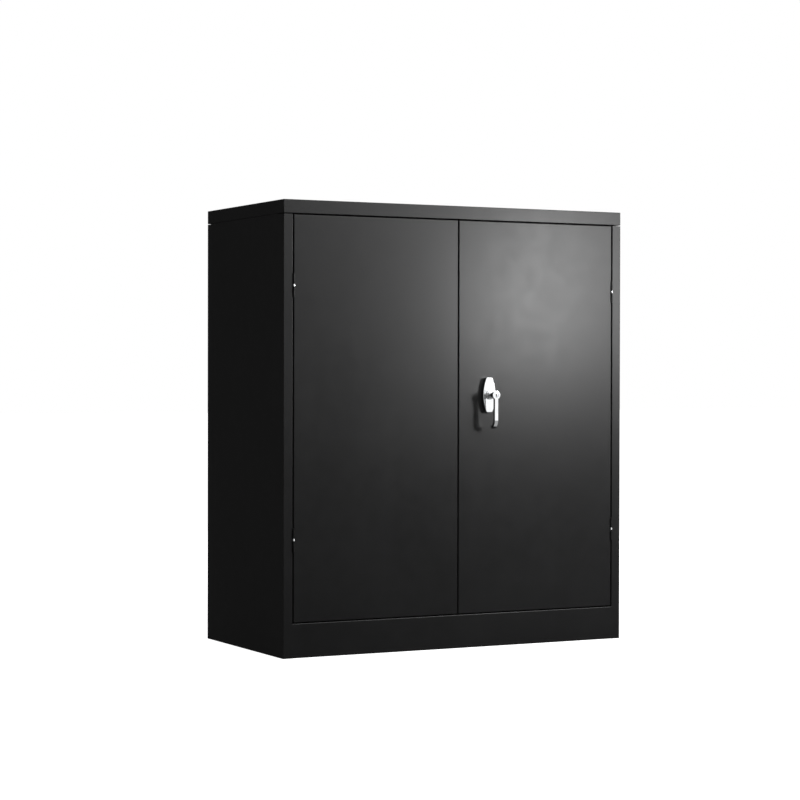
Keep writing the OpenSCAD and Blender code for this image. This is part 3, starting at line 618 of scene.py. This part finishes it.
def cross_head_screw(arm, width, depth, rim_radius, steps):
    """A screw with a cross-shaped recess, its head's face at Z = 0 and its shank below."""
    bm = bmesh.new()
    bm.verts.layers.float.new("recess")
    grid = bmesh.ops.create_grid(bm, x_segments=3, y_segments=3, size=0.5)["verts"]
    corners = [vert for vert in grid if abs(vert.co.x) > 0.4 and abs(vert.co.y) > 0.4]
    bmesh.ops.delete(bm, geom=corners, context="VERTS")
    for vert in bm.verts:
        for axis in (0, 1):
            half = arm if abs(vert.co[axis]) > 0.4 else width / 2
            vert.co[axis] = math.copysign(half, vert.co[axis])
    bmesh.ops.subdivide_edges(bm, edges=[edge for edge in bm.edges if edge.is_boundary], cuts=1)
    floor = bm.faces[:]
    mouth = [edge for edge in bm.edges if edge.is_boundary]
    sunk = bmesh.ops.extrude_face_region(bm, geom=floor)["geom"]
    bmesh.ops.delete(bm, geom=[face for face in floor if face.is_valid], context="FACES")
    bmesh.ops.translate(bm, verts=verts_in(sunk), vec=(0, 0, -depth))
    bmesh.ops.scale(bm, verts=verts_in(sunk), vec=(0.6, 0.6, 1))
    # Painted shade: the cross-shaped recess is marked to be painted dark.
    shade(bm, verts_in(sunk))
    draw_rim(bm, circle_around(bm, mouth, rim_radius), rim_radius, steps)
    bmesh.ops.recalc_face_normals(bm, faces=bm.faces)
    return bm


def hex_nut(radius, height):
    """A hexagon nut on Z = 0 with its corners along X, chamfered edges and a countersunk bore."""
    bm = bmesh.new()
    turn = Matrix.Rotation(math.pi / 6, 4, "Z")
    corners = bmesh.ops.create_circle(bm, segments=6, radius=radius, matrix=turn)["verts"]
    bmesh.ops.subdivide_edges(bm, edges=edges_of(corners), cuts=3)
    circle_around(bm, bm.edges[:], THREAD_BORE)
    thicken(bm, height)
    rims = [edge for edge in sharp_edges(bm, 60) if is_level(edge, height / 2)]
    soften(bm, rims, 0.4 * MM, 2)
    return bm


# ---------- pieces ----------

def escutcheon_plate(s):
    """The boat-shaped plate under the handle, lying on Z = 0."""
    corner_radius = 2.2 * MM
    half_length = s.length / 2
    rise = (s.width - s.end_width) / 2
    arc = (half_length ** 2 + rise ** 2) / (2 * rise)
    half_angle = math.asin(half_length / arc)
    bm = bmesh.new()
    start = bm.verts.new((s.end_width / 2, -half_length, 0))
    bmesh.ops.spin(bm, geom=[start], cent=(s.width / 2 - arc, 0, 0), axis=(0, 0, 1),
                   angle=2 * half_angle, steps=30, use_merge=False, use_duplicate=False)
    bmesh.ops.mirror(bm, geom=bm.verts[:] + bm.edges[:], axis="X", merge_dist=0)
    ends = sorted(bm.verts, key=lambda vert: abs(vert.co.y))[-4:]
    cut = [bm.edges.new([vert for vert in ends if vert.co.y * side > 0]) for side in (-1, 1)]
    bmesh.ops.subdivide_edges(bm, edges=cut, cuts=1)
    circle_around(bm, bm.edges[:], s.hole_radius)
    across = [edge for edge in bm.edges if len(edge.link_faces) == 2]
    bmesh.ops.subdivide_edges(bm, edges=across, cuts=3, use_grid_fill=True)
    thicken(bm, s.depth)
    upright = [edge for edge in sharp_edges(bm, 30) if not is_level(edge, s.depth / 2)]
    soften(bm, upright, corner_radius, 4)

    def face_edges(share, inside, outside):
        """The sharp edges near the face whose far ends lie between two radii."""
        return [edge for edge in sharp_edges(bm, 60)
                if min(vert.co.z for vert in edge.verts) > s.depth * share
                and inside < max(vert.co.xy.length for vert in edge.verts) < outside]

    soften(bm, face_edges(0.99, s.hole_radius * 1.2, s.length), s.shoulder, 5)
    for vert in bm.verts:
        share = max(0.0, vert.co.z / s.depth)
        vert.co.z -= s.crown * share * (vert.co.y / half_length) ** 2
    soften(bm, face_edges(0.8, 0, s.hole_radius * 1.05), 0.3 * MM, 1)
    return bm


def lever_head(s, bore):
    """The lever's round head, bored for the lock, with its cast edges rounded."""
    back = s.reach - s.head_depth
    chamfer = 0.25 * MM
    corner = quarter_circle(s.edge_round)
    front = [(s.head_radius - across, s.reach - up) for across, up in corner]
    rear = [(s.head_radius - across, back + up) for across, up in reversed(corner)]
    outline = [(bore, back), *rear, *front, (bore + chamfer, s.reach), (bore, s.reach - chamfer)]
    return turned(outline, 96, closed=True)


def lever_arm(s):
    """The arm: a rounded section drawn down from the head, narrowing, and curled to the door."""
    root = 0.6 * s.head_radius
    curl_start = s.arm_length - s.curl_radius
    tip_radius = s.tip_width / 2
    slope = (s.root_width / 2 - tip_radius) / (s.arm_length - tip_radius)

    face_inset = 0.05 * MM
    fillet_width = 1.1 * MM
    fillet_length = 14 * MM

    def half_width(along):
        fillet = fillet_width * max(0.0, 1 - (along - root) / fillet_length) ** 2
        past = max(0.0, along - s.arm_length + tip_radius)
        return min(s.root_width / 2 - slope * along + fillet,
                   math.sqrt(max(tip_radius ** 2 - past ** 2, 1e-8)))

    bm = bmesh.new()
    bmesh.ops.create_grid(bm, x_segments=1, y_segments=1, size=0.5,
                          matrix=Matrix.Rotation(QUARTER_TURN, 4, "X"))
    bmesh.ops.scale(bm, verts=bm.verts, vec=(s.root_width, 1, s.arm_depth))
    bmesh.ops.translate(bm, verts=bm.verts, vec=(0, -root, s.reach - face_inset - s.arm_depth / 2))
    bmesh.ops.bevel(bm, geom=bm.verts[:], offset=1.2 * s.edge_round, segments=5, profile=0.5,
                    affect="VERTICES")
    section = bm.faces[:]

    def drawn_out(section):
        """Draws the section on by one step. The first one stays as the arm's hidden end."""
        first = len(bm.faces) == 1
        grown = bmesh.ops.extrude_face_region(bm, geom=section)["geom"]
        covered = [face for face in section if face.is_valid]
        if covered and not first:
            bmesh.ops.delete(bm, geom=covered, context="FACES_ONLY")
        return [item for item in grown if isinstance(item, bmesh.types.BMFace)], verts_in(grown)

    straight_steps, curl_steps = 12, 16
    for step in range(straight_steps):
        section, verts = drawn_out(section)
        bmesh.ops.translate(bm, verts=verts, vec=(0, (root - curl_start) / straight_steps, 0))
    centre = Vector((0, -curl_start, s.reach - s.curl_radius))
    turn = Matrix.Rotation(QUARTER_TURN / curl_steps, 3, "X")
    for step in range(curl_steps):
        section, verts = drawn_out(section)
        bmesh.ops.rotate(bm, verts=verts, cent=centre, matrix=turn)
    for vert in bm.verts:
        vert.co.x *= half_width(-vert.co.y) / (s.root_width / 2)
    bmesh.ops.recalc_face_normals(bm, faces=bm.faces)
    soften(bm, [edge for face in section for edge in face.edges], 0.5 * s.edge_round, 3)
    return bm


def fused(first, second):
    """The union of two closed shapes as one shape."""
    blanks = [new_object("blank", mesh_from("blank", bm)) for bm in (first, second)]
    union = blanks[0].modifiers.new("union", "BOOLEAN")
    union.operation = "UNION"
    union.solver = "EXACT"
    union.object = blanks[1]
    whole = blanks[0].evaluated_get(bpy.context.evaluated_depsgraph_get())
    bm = bmesh.new()
    bm.from_mesh(whole.to_mesh())
    for blank in blanks:
        bpy.data.objects.remove(blank)
    return bm


def lever_hub(s, bore, bore_depth, plate_depth):
    """The turned neck between the head and the plate, with its collar and its bore for the lock."""
    back = s.reach - s.head_depth
    collar_low = plate_depth + 0.3 * MM
    collar_top = collar_low + 3 * MM
    overlap = 0.3 * MM
    flare = s.head_radius - s.hub_radius - 0.5 * MM
    floor = s.reach - bore_depth
    curve = [(s.hub_radius + across, back - up) for across, up in quarter_circle(flare)]
    outline = [
        (0, -3.4 * MM), (s.hub_radius - 0.6 * MM, -3.4 * MM), (s.hub_radius, -2.8 * MM),
        (s.hub_radius, collar_low), (s.collar_radius - 0.5 * MM, collar_low),
        (s.collar_radius, collar_low + 0.5 * MM), (s.collar_radius, collar_top - 1.2 * MM),
        (s.collar_radius - 0.4 * MM, collar_top - 0.4 * MM), (s.collar_radius - 1.2 * MM, collar_top),
        (s.hub_radius + 0.7 * MM, collar_top), (s.hub_radius + 0.2 * MM, collar_top + 0.3 * MM),
        (s.hub_radius, collar_top + 1.0 * MM),
        *curve,
        (s.hub_radius + flare, back + overlap), (bore, back + overlap), (bore, floor), (0, floor),
    ]
    return turned(outline, 64)


def square_shank():
    """The square end of the hub behind the door, which drives the cam."""
    width, depth, middle = 8.9 * MM, 2.5 * MM, -4.65 * MM
    bm = bmesh.new()
    size = Matrix.Diagonal((width, width, depth, 1))
    bmesh.ops.create_cube(bm, size=1, matrix=Matrix.Translation((0, 0, middle)) @ size)
    soften(bm, sharp_edges(bm, 35), 0.3 * MM, 1)
    return bm


def lock_plug(s, front, length):
    """The key plug: a turned barrel with a chamfered rim and the keyway sunk in its face."""
    half = s.keyway_height / 2 - s.keyway_width / 2
    bm = bmesh.new()
    bm.verts.layers.float.new("recess")
    start = bm.verts.new((s.keyway_width / 2, half, 0))
    bmesh.ops.spin(bm, geom=[start], cent=(0, half, 0), axis=(0, 0, 1), angle=math.pi, steps=8,
                   use_merge=False, use_duplicate=False)
    bmesh.ops.mirror(bm, geom=bm.verts[:] + bm.edges[:], axis="Y", merge_dist=0)
    for side in (-1, 1):
        flank = [vert for vert in bm.verts if vert.co.x * side > s.keyway_width * 0.499]
        edge = bm.edges.new(sorted(flank, key=lambda vert: abs(vert.co.y))[:2])
        bmesh.ops.subdivide_edges(bm, edges=[edge], cuts=15)
    slot = bm.edges[:]
    face = s.radius - 0.7 * MM
    draw_rim(bm, circle_around(bm, slot, face), face, (
        (s.radius - 0.45 * MM, -0.12 * MM), (s.radius - 0.35 * MM, 0), (s.radius - 0.15 * MM, 0),
        (s.radius, -0.2 * MM), (s.radius, -length)))
    mouth_depth = 0.1 * MM
    for depth in (mouth_depth, s.keyway_depth - mouth_depth):
        sunk = bmesh.ops.extrude_edge_only(bm, edges=slot)["geom"]
        bmesh.ops.translate(bm, verts=verts_in(sunk), vec=(0, 0, -depth))
        # Painted shade: the keyway's walls and floor are marked to be painted dark.
        shade(bm, verts_in(sunk))
        slot = open_edges_in(sunk)
    bmesh.ops.edgeloop_fill(bm, edges=slot)
    bmesh.ops.recalc_face_normals(bm, faces=bm.faces)
    bmesh.ops.translate(bm, verts=bm.verts, vec=(0, 0, front))
    return bm


def hinge_bush(radius, height):
    """The bright bush between a hinge's knuckles, standing on Z = 0."""
    bore = radius - 1.4 * MM
    chamfer = 0.35 * MM
    return turned([
        (bore, 0), (radius - chamfer, 0), (radius, chamfer), (radius, height - chamfer),
        (radius - chamfer, height), (bore, height),
    ], 32, closed=True)


def handle_screw(radius, length):
    """A countersunk screw of the handle's plate, its head's face at Z = 0."""
    sink = radius / 2
    return cross_head_screw(0.6 * radius, 0.22 * radius, 1.2 * MM, 0.9 * radius, (
        (radius, -0.06 * MM), (radius, -0.25 * MM), (radius - sink, -sink - 0.1 * MM),
        (radius - sink, -length)))


def cap_screw(radius, length):
    """A pan-head screw of the cap, its head's top at Z = 0."""
    head = 3.5 * MM
    thread = 3 * MM
    point = 0.4 * MM
    return cross_head_screw(0.42 * radius, 0.16 * radius, 1.6 * MM, 0.55 * radius, (
        (0.74 * radius, -0.05 * head), (0.9 * radius, -0.22 * head), (radius, -0.55 * head),
        (radius, -head), (thread, -head), (thread, point - length), (thread - point, -length)))


def back_rivet(radius, length):
    """A blind rivet: its crimped end on Z = 0, and its domed head with the mandrel's hollow above."""
    dome = 1.2 * MM
    shank = 1.6 * MM
    return turned([
        (0, 0), (1.4 * MM, 0), (2.6 * MM, 0.4 * MM), (3.0 * MM, 1.0 * MM), (2.9 * MM, dome),
        (shank, dome), (shank, length - dome), (radius - 0.05 * MM, length - dome),
        (radius, length - 0.85 * dome), (0.86 * radius, length - 0.42 * dome),
        (0.62 * radius, length - 0.1 * dome), (0.4 * radius, length), (0.32 * radius, length),
        (0.28 * radius, length - 0.45 * dome), (0, length - 0.45 * dome),
    ], 32)


def door_buffer(radius, length):
    """A domed rubber buffer that stands on Z = 0."""
    return turned([
        (0, 0), (radius, 0), (radius, 0.35 * length), (0.93 * radius, 0.68 * length),
        (0.78 * radius, 0.9 * length), (0.5 * radius, length), (0, length),
    ], 32)


# ---------- operators ----------

class CABINET_OT_coat_carcass(Operator):
    """Coat the folded carcass: sides, back, cap, header, floor, kick plate and uprights"""
    bl_idname = "cabinet.coat_carcass"
    bl_label = "Carcass"

    def execute(self, context):
        paint(COATED_CARCASS, "black_coat")
        return {"FINISHED"}


class CABINET_OT_coat_doors(Operator):
    """Coat the two doors and their stiffeners"""
    bl_idname = "cabinet.coat_doors"
    bl_label = "Doors"

    def execute(self, context):
        paint(COATED_DOORS, "black_coat")
        return {"FINISHED"}


class CABINET_OT_finish_shelves(Operator):
    """Coat the shelves and plate the clips that carry them"""
    bl_idname = "cabinet.finish_shelves"
    bl_label = "Shelves"

    def execute(self, context):
        paint(COATED_SHELVES, "black_coat")
        paint(SHELF_CLIPS, "zinc_plate")
        return {"FINISHED"}


class CABINET_OT_fit_hinges(Operator):
    """Coat the hinge leaves, plate the pins and turn the bright bushes between the knuckles"""
    bl_idname = "cabinet.fit_hinges"
    bl_label = "Hinges"

    def execute(self, context):
        for hinge in HINGES:
            paint((hinge + "_frame_leaf", hinge + "_door_leaf"), "black_coat")
            paint((hinge + "_pin",), "zinc_plate")
            low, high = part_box(hinge + "_bush")
            place = Matrix.Translation(((low.x + high.x) / 2, (low.y + high.y) / 2, low.z))
            bm = hinge_bush((high.x - low.x) / 2, high.z - low.z)
            piece_from(bm, hinge + "_bright_bush", place, "chrome", "cabinet", hinge + "_bush")
        return {"FINISHED"}


class CABINET_OT_fit_escutcheon(Operator):
    """Shape the boat-shaped plate under the handle"""
    bl_idname = "cabinet.fit_escutcheon"
    bl_label = "Escutcheon"

    def execute(self, context):
        bm = escutcheon_plate(context.scene.cabinet_escutcheon)
        piece_from(bm, "escutcheon_plate", handle_place(), "chrome", "right_door", "escutcheon")
        return {"FINISHED"}


class CABINET_OT_fit_lever(Operator):
    """Cast the swing lever and turn its hub and collar"""
    bl_idname = "cabinet.fit_lever"
    bl_label = "Swing lever"

    def execute(self, context):
        s = context.scene.cabinet_lever
        plug = context.scene.cabinet_plug
        bore = plug.radius + PLUG_CLEARANCE
        lever = fused(lever_head(s, bore), lever_arm(s))
        piece_from(lever, "swing_lever", handle_place(), "chrome", "handle", "handle_lever")
        bore_depth = plug_high.y - plug_low.y + plug.recess + PLUG_CLEARANCE
        hub = lever_hub(s, bore, bore_depth, context.scene.cabinet_escutcheon.depth)
        join_to(hub, square_shank())
        piece_from(hub, "lever_hub", handle_place(), "chrome", "handle", "handle_lever")
        return {"FINISHED"}


class CABINET_OT_fit_lock(Operator):
    """Turn the key plug with its keyway"""
    bl_idname = "cabinet.fit_lock"
    bl_label = "Lock plug"

    def execute(self, context):
        s = context.scene.cabinet_plug
        front = context.scene.cabinet_lever.reach - s.recess
        bm = lock_plug(s, front, plug_high.y - plug_low.y)
        piece_from(bm, "key_plug", handle_place(), "chrome", "lock_plug", "lock_plug")
        return {"FINISHED"}


class CABINET_OT_finish_latch(Operator):
    """Plate the cam, rods, keeper and bearing plate, and mould the rod guides"""
    bl_idname = "cabinet.finish_latch"
    bl_label = "Latch"

    def execute(self, context):
        paint(PLATED_LATCH, "zinc_plate")
        paint(ROD_GUIDES, "guide_plastic")
        low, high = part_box("cam_nut")
        nut = hex_nut((high.x - low.x) / 2, high.y - low.y)
        bmesh.ops.translate(nut, verts=nut.verts, vec=(0, 0, door_face_y - high.y))
        piece_from(nut, "chamfered_cam_nut", handle_place(), "zinc_plate", "handle", "cam_nut")
        screws = one_per_solid("escutcheon_screws", handle_screw, -QUARTER_TURN, 1, 1)
        piece_from(screws, "cross_head_handle_screws", Matrix(), "zinc_plate", "right_door",
                   "escutcheon_screws")
        return {"FINISHED"}


class CABINET_OT_fit_rivets(Operator):
    """Set the domed blind rivets of the back panel"""
    bl_idname = "cabinet.fit_rivets"
    bl_label = "Back rivets"

    def execute(self, context):
        rivets = one_per_solid("back_panel_rivets", back_rivet, -QUARTER_TURN, 1, 0)
        piece_from(rivets, "domed_back_rivets", Matrix(), "black_coat", "cabinet", "back_panel_rivets")
        return {"FINISHED"}


class CABINET_OT_fit_buffers(Operator):
    """Mould the domed rubber buffers that the doors close against"""
    bl_idname = "cabinet.fit_buffers"
    bl_label = "Door buffers"

    def execute(self, context):
        buffers = one_per_solid("door_buffers", door_buffer, QUARTER_TURN, 1, 1)
        piece_from(buffers, "domed_door_buffers", Matrix(), "rubber", "cabinet", "door_buffers")
        return {"FINISHED"}


class CABINET_OT_finish_cap_fasteners(Operator):
    """Plate the screws and nuts that hold the cap down"""
    bl_idname = "cabinet.finish_cap_fasteners"
    bl_label = "Cap fasteners"

    def execute(self, context):
        screws = one_per_solid("cap_screws", cap_screw, math.pi, 2, 0)
        piece_from(screws, "pan_head_cap_screws", Matrix(), "zinc_plate", "cabinet", "cap_screws")
        nuts = one_per_solid("cap_nuts", hex_nut, 0, 2, 0)
        piece_from(nuts, "chamfered_cap_nuts", Matrix(), "zinc_plate", "cabinet", "cap_nuts")
        return {"FINISHED"}


# ---------- studio ----------

def ray_level(tree, camera, mirrored, other):
    """A value that is camera for what the camera sees, mirrored for what gloss and glass see,
    and other for the rest."""
    path = tree.nodes.new("ShaderNodeLightPath").outputs
    gloss = math_node(tree, "MAXIMUM", path["Is Glossy Ray"], path["Is Transmission Ray"])
    seen = math_node(tree, "MULTIPLY", path["Is Camera Ray"], camera - other)
    shown = math_node(tree, "MULTIPLY", gloss, math_node(tree, "SUBTRACT", mirrored, other))
    return math_node(tree, "ADD", math_node(tree, "ADD", seen, shown), other)


def level_towards(tree, place, towards, low, high, start, end):
    """A level that rises smoothly from low to high as the direction turns to the one given."""
    spread = tree.nodes.new("ShaderNodeMapRange")
    spread.interpolation_type = "SMOOTHSTEP"
    feed(tree, spread.inputs["Value"], dot_product(tree, place, towards))
    for name, value in (("From Min", start), ("From Max", end), ("To Min", low), ("To Max", high)):
        spread.inputs[name].default_value = value
    return spread.outputs["Result"]


def glowing(name, base_kind, level_at):
    """A material that adds a glow to a plain shader. level_at makes the glow's level from the
    tree and the place."""
    material = bpy.data.materials.new(name)
    material.use_nodes = True
    tree = material.node_tree
    tree.nodes.clear()
    out = tree.nodes.new("ShaderNodeOutputMaterial")
    both = tree.nodes.new("ShaderNodeAddShader")
    base = tree.nodes.new(base_kind)
    glow = tree.nodes.new("ShaderNodeEmission")
    place = tree.nodes.new("ShaderNodeTexCoord").outputs["Object"]
    tree.links.new(level_at(tree, place), glow.inputs["Strength"])
    tree.links.new(base.outputs[0], both.inputs[0])
    tree.links.new(glow.outputs[0], both.inputs[1])
    tree.links.new(both.outputs[0], out.inputs["Surface"])
    return material


def studio_object(name, bm, material):
    """A shape of the studio as an object, which isn't part of the cabinet."""
    made = new_object(name, mesh_from(name, bm))
    made.data.materials.append(material)
    return made


def pale_floor(s):
    """A pale floor that shows as white, with its glow cut out under the cabinet as a painted shadow in
    the closed space there.
    """
    half_size, inset = 30.0, 0.015
    half_width, back = cad_box[1][0], cad_box[1][1]
    middle = (door_face_y + back) / 2

    def level_at(tree, place):
        apart = tree.nodes.new("ShaderNodeSeparateXYZ")
        tree.links.new(place, apart.inputs[0])
        from_middle = math_node(tree, "SUBTRACT", apart.outputs["Y"], middle)
        past = [
            math_node(tree, "SUBTRACT", math_node(tree, "ABSOLUTE", offset), half - inset)
            for offset, half in ((apart.outputs["X"], half_width), (from_middle, back - middle))
        ]
        # Painted shadow: the floor's glow is cut out inside the cabinet's footprint.
        outside = math_node(tree, "GREATER_THAN", math_node(tree, "MAXIMUM", *past), 0.0)
        return math_node(tree, "MULTIPLY", ray_level(tree, s.floor_level, 0.0, 0.0), outside)

    material = glowing("pale_studio_floor", "ShaderNodeBsdfDiffuse", level_at)
    diffuse = material.node_tree.nodes["Diffuse BSDF"]
    diffuse.inputs["Color"].default_value = (0.7, 0.7, 0.7, 1)
    bm = bmesh.new()
    bmesh.ops.create_grid(bm, x_segments=1, y_segments=1, size=half_size)
    studio_object("studio_floor", bm, material).visible_glossy = False


def white_tent(s):
    """The white surroundings as the plated pieces mirror them. The coat mirrors the dimmer world
    behind, as in the photograph, and nothing else sees the tent."""
    radius = 25.0

    def level_at(tree, place):
        bright_side = Vector((0.85, -0.5, 0.2)) / radius
        ahead = level_towards(tree, place, bright_side, s.tent_side / s.tent, 1.0, 0.0, 0.4)
        above = level_towards(tree, place, (0, 0, 1 / radius), s.tent_floor, s.tent, -0.14, -0.04)
        return ray_level(tree, 0.0, math_node(tree, "MULTIPLY", ahead, above), 0.0)

    material = glowing("white_tent", "ShaderNodeBsdfTransparent", level_at)
    material.cycles.emission_sampling = "NONE"
    bm = bmesh.new()
    bmesh.ops.create_icosphere(bm, subdivisions=4, radius=radius)
    tent = studio_object("white_tent", bm, material)
    tent.visible_camera = False
    tent.visible_diffuse = False
    tent.visible_shadow = False
    tent.light_linking.receiver_collection = plated_pieces


def white_world(s):
    """The world: white to the camera, soft light on everything, and dimmer where it is mirrored."""
    world = bpy.data.worlds.new("white_surroundings")
    world.use_nodes = True
    tree = world.node_tree
    background = tree.nodes["Background"]
    background.inputs["Color"].default_value = (1, 1, 1, 1)
    place = tree.nodes.new("ShaderNodeTexCoord").outputs["Generated"]
    front_right = (0.46, -0.887, 0)
    mirrored = level_towards(tree, place, front_right, s.surroundings_behind, s.surroundings, -0.4, 0.4)
    tree.links.new(ray_level(tree, 1.0, mirrored, s.ambient), background.inputs["Strength"])
    bpy.context.scene.world = world


def lamp(name, place, aim, width, height, power):
    """A rectangular lamp at a place, aimed at a point, that the camera doesn't see."""
    light = bpy.data.lights.new(name, "AREA")
    light.shape = "RECTANGLE"
    light.size = width
    light.size_y = height
    light.energy = power
    lamp_object = new_object(name, light)
    lamp_object.location = place
    lamp_object.rotation_euler = (Vector(aim) - Vector(place)).to_track_quat("-Z", "Y").to_euler()
    lamp_object.visible_camera = False


def photo_camera(s):
    """The camera that the photograph was taken with, as fitted to the cabinet's corners."""
    place = (-2.59346, door_face_y - 4.69099, 0.65712)
    yaw, pitch, roll = math.radians(27.442), math.radians(-0.661), math.radians(0.102)
    forward = Vector((math.sin(yaw) * math.cos(pitch), math.cos(yaw) * math.cos(pitch), math.sin(pitch)))
    right = Vector((math.cos(yaw), -math.sin(yaw), 0))
    facing = Matrix((right, right.cross(forward), -forward)).transposed()
    camera = bpy.data.cameras.new("photo_camera")
    camera.sensor_width = 36
    camera.lens = s.lens
    camera.clip_end = 100
    camera_object = new_object("photo_camera", camera)
    turn = facing @ Matrix.Rotation(roll, 3, "Z")
    camera_object.matrix_world = Matrix.Translation(place) @ turn.to_4x4()
    bpy.context.scene.camera = camera_object


class CABINET_OT_set_studio(Operator):
    """Set the pale floor, the white surroundings, the lamps and the camera"""
    bl_idname = "cabinet.set_studio"
    bl_label = "Studio"

    def execute(self, context):
        s = context.scene.cabinet_studio
        context.scene.view_settings.view_transform = "Standard"
        pale_floor(s)
        white_world(s)
        white_tent(s)
        lamp("key_lamp", (0.833, -1.286, 0.901), (0.6, -0.2, 0.65), 0.14, 0.44, s.key_power)
        lamp("right_lamp", (1.38, -1.7, 0.94), (0.3, -0.2, 0.8), 0.5, 0.6, s.right_power)
        lamp("high_lamp", (1.407, -1.966, 2.347), (-0.5, -0.2, 0.65), 2.4, 2.4, s.high_power)
        lamp("back_lamp", (1.6, 2.8, 2.0), (0.1, 0.2, 0.6), 2.6, 2.6, s.back_power)
        photo_camera(s)
        return {"FINISHED"}


STEPS = (
    CABINET_OT_coat_carcass,
    CABINET_OT_coat_doors,
    CABINET_OT_finish_shelves,
    CABINET_OT_fit_hinges,
    CABINET_OT_fit_escutcheon,
    CABINET_OT_fit_lever,
    CABINET_OT_fit_lock,
    CABINET_OT_finish_latch,
    CABINET_OT_fit_rivets,
    CABINET_OT_fit_buffers,
    CABINET_OT_finish_cap_fasteners,
    CABINET_OT_set_studio,
)

SETTINGS = {
    "cabinet_finish": FinishSettings,
    "cabinet_escutcheon": EscutcheonSizes,
    "cabinet_lever": SwingLeverSizes,
    "cabinet_plug": LockPlugSizes,
    "cabinet_studio": StudioSettings,
}


class CABINET_PT_sidebar(Panel):
    """The cabinet's steps in the order that they are taken"""
    bl_idname = "CABINET_PT_sidebar"
    bl_label = "Steel cabinet"
    bl_space_type = "VIEW_3D"
    bl_region_type = "UI"
    bl_category = "Cabinet"

    def draw(self, context):
        steps = self.layout.column(align=True)
        for step in STEPS:
            steps.operator(step.bl_idname)
        for name, group in SETTINGS.items():
            box = self.layout.box()
            for prop in group.__annotations__:
                box.prop(getattr(context.scene, name), prop)


def register():
    for name, group in SETTINGS.items():
        bpy.utils.register_class(group)
        setattr(bpy.types.Scene, name, PointerProperty(type=group))
    for step in STEPS:
        bpy.utils.register_class(step)
    bpy.utils.register_class(CABINET_PT_sidebar)


def unregister():
    bpy.utils.unregister_class(CABINET_PT_sidebar)
    for step in reversed(STEPS):
        bpy.utils.unregister_class(step)
    for name, group in SETTINGS.items():
        delattr(bpy.types.Scene, name)
        bpy.utils.unregister_class(group)


def build_cabinet():
    """Registers the add-on's classes and takes every step in order."""
    register()
    for step in STEPS:
        group, action = step.bl_idname.split(".")
        getattr(getattr(bpy.ops, group), action)()


if __name__ == "__main__":
    build_cabinet()
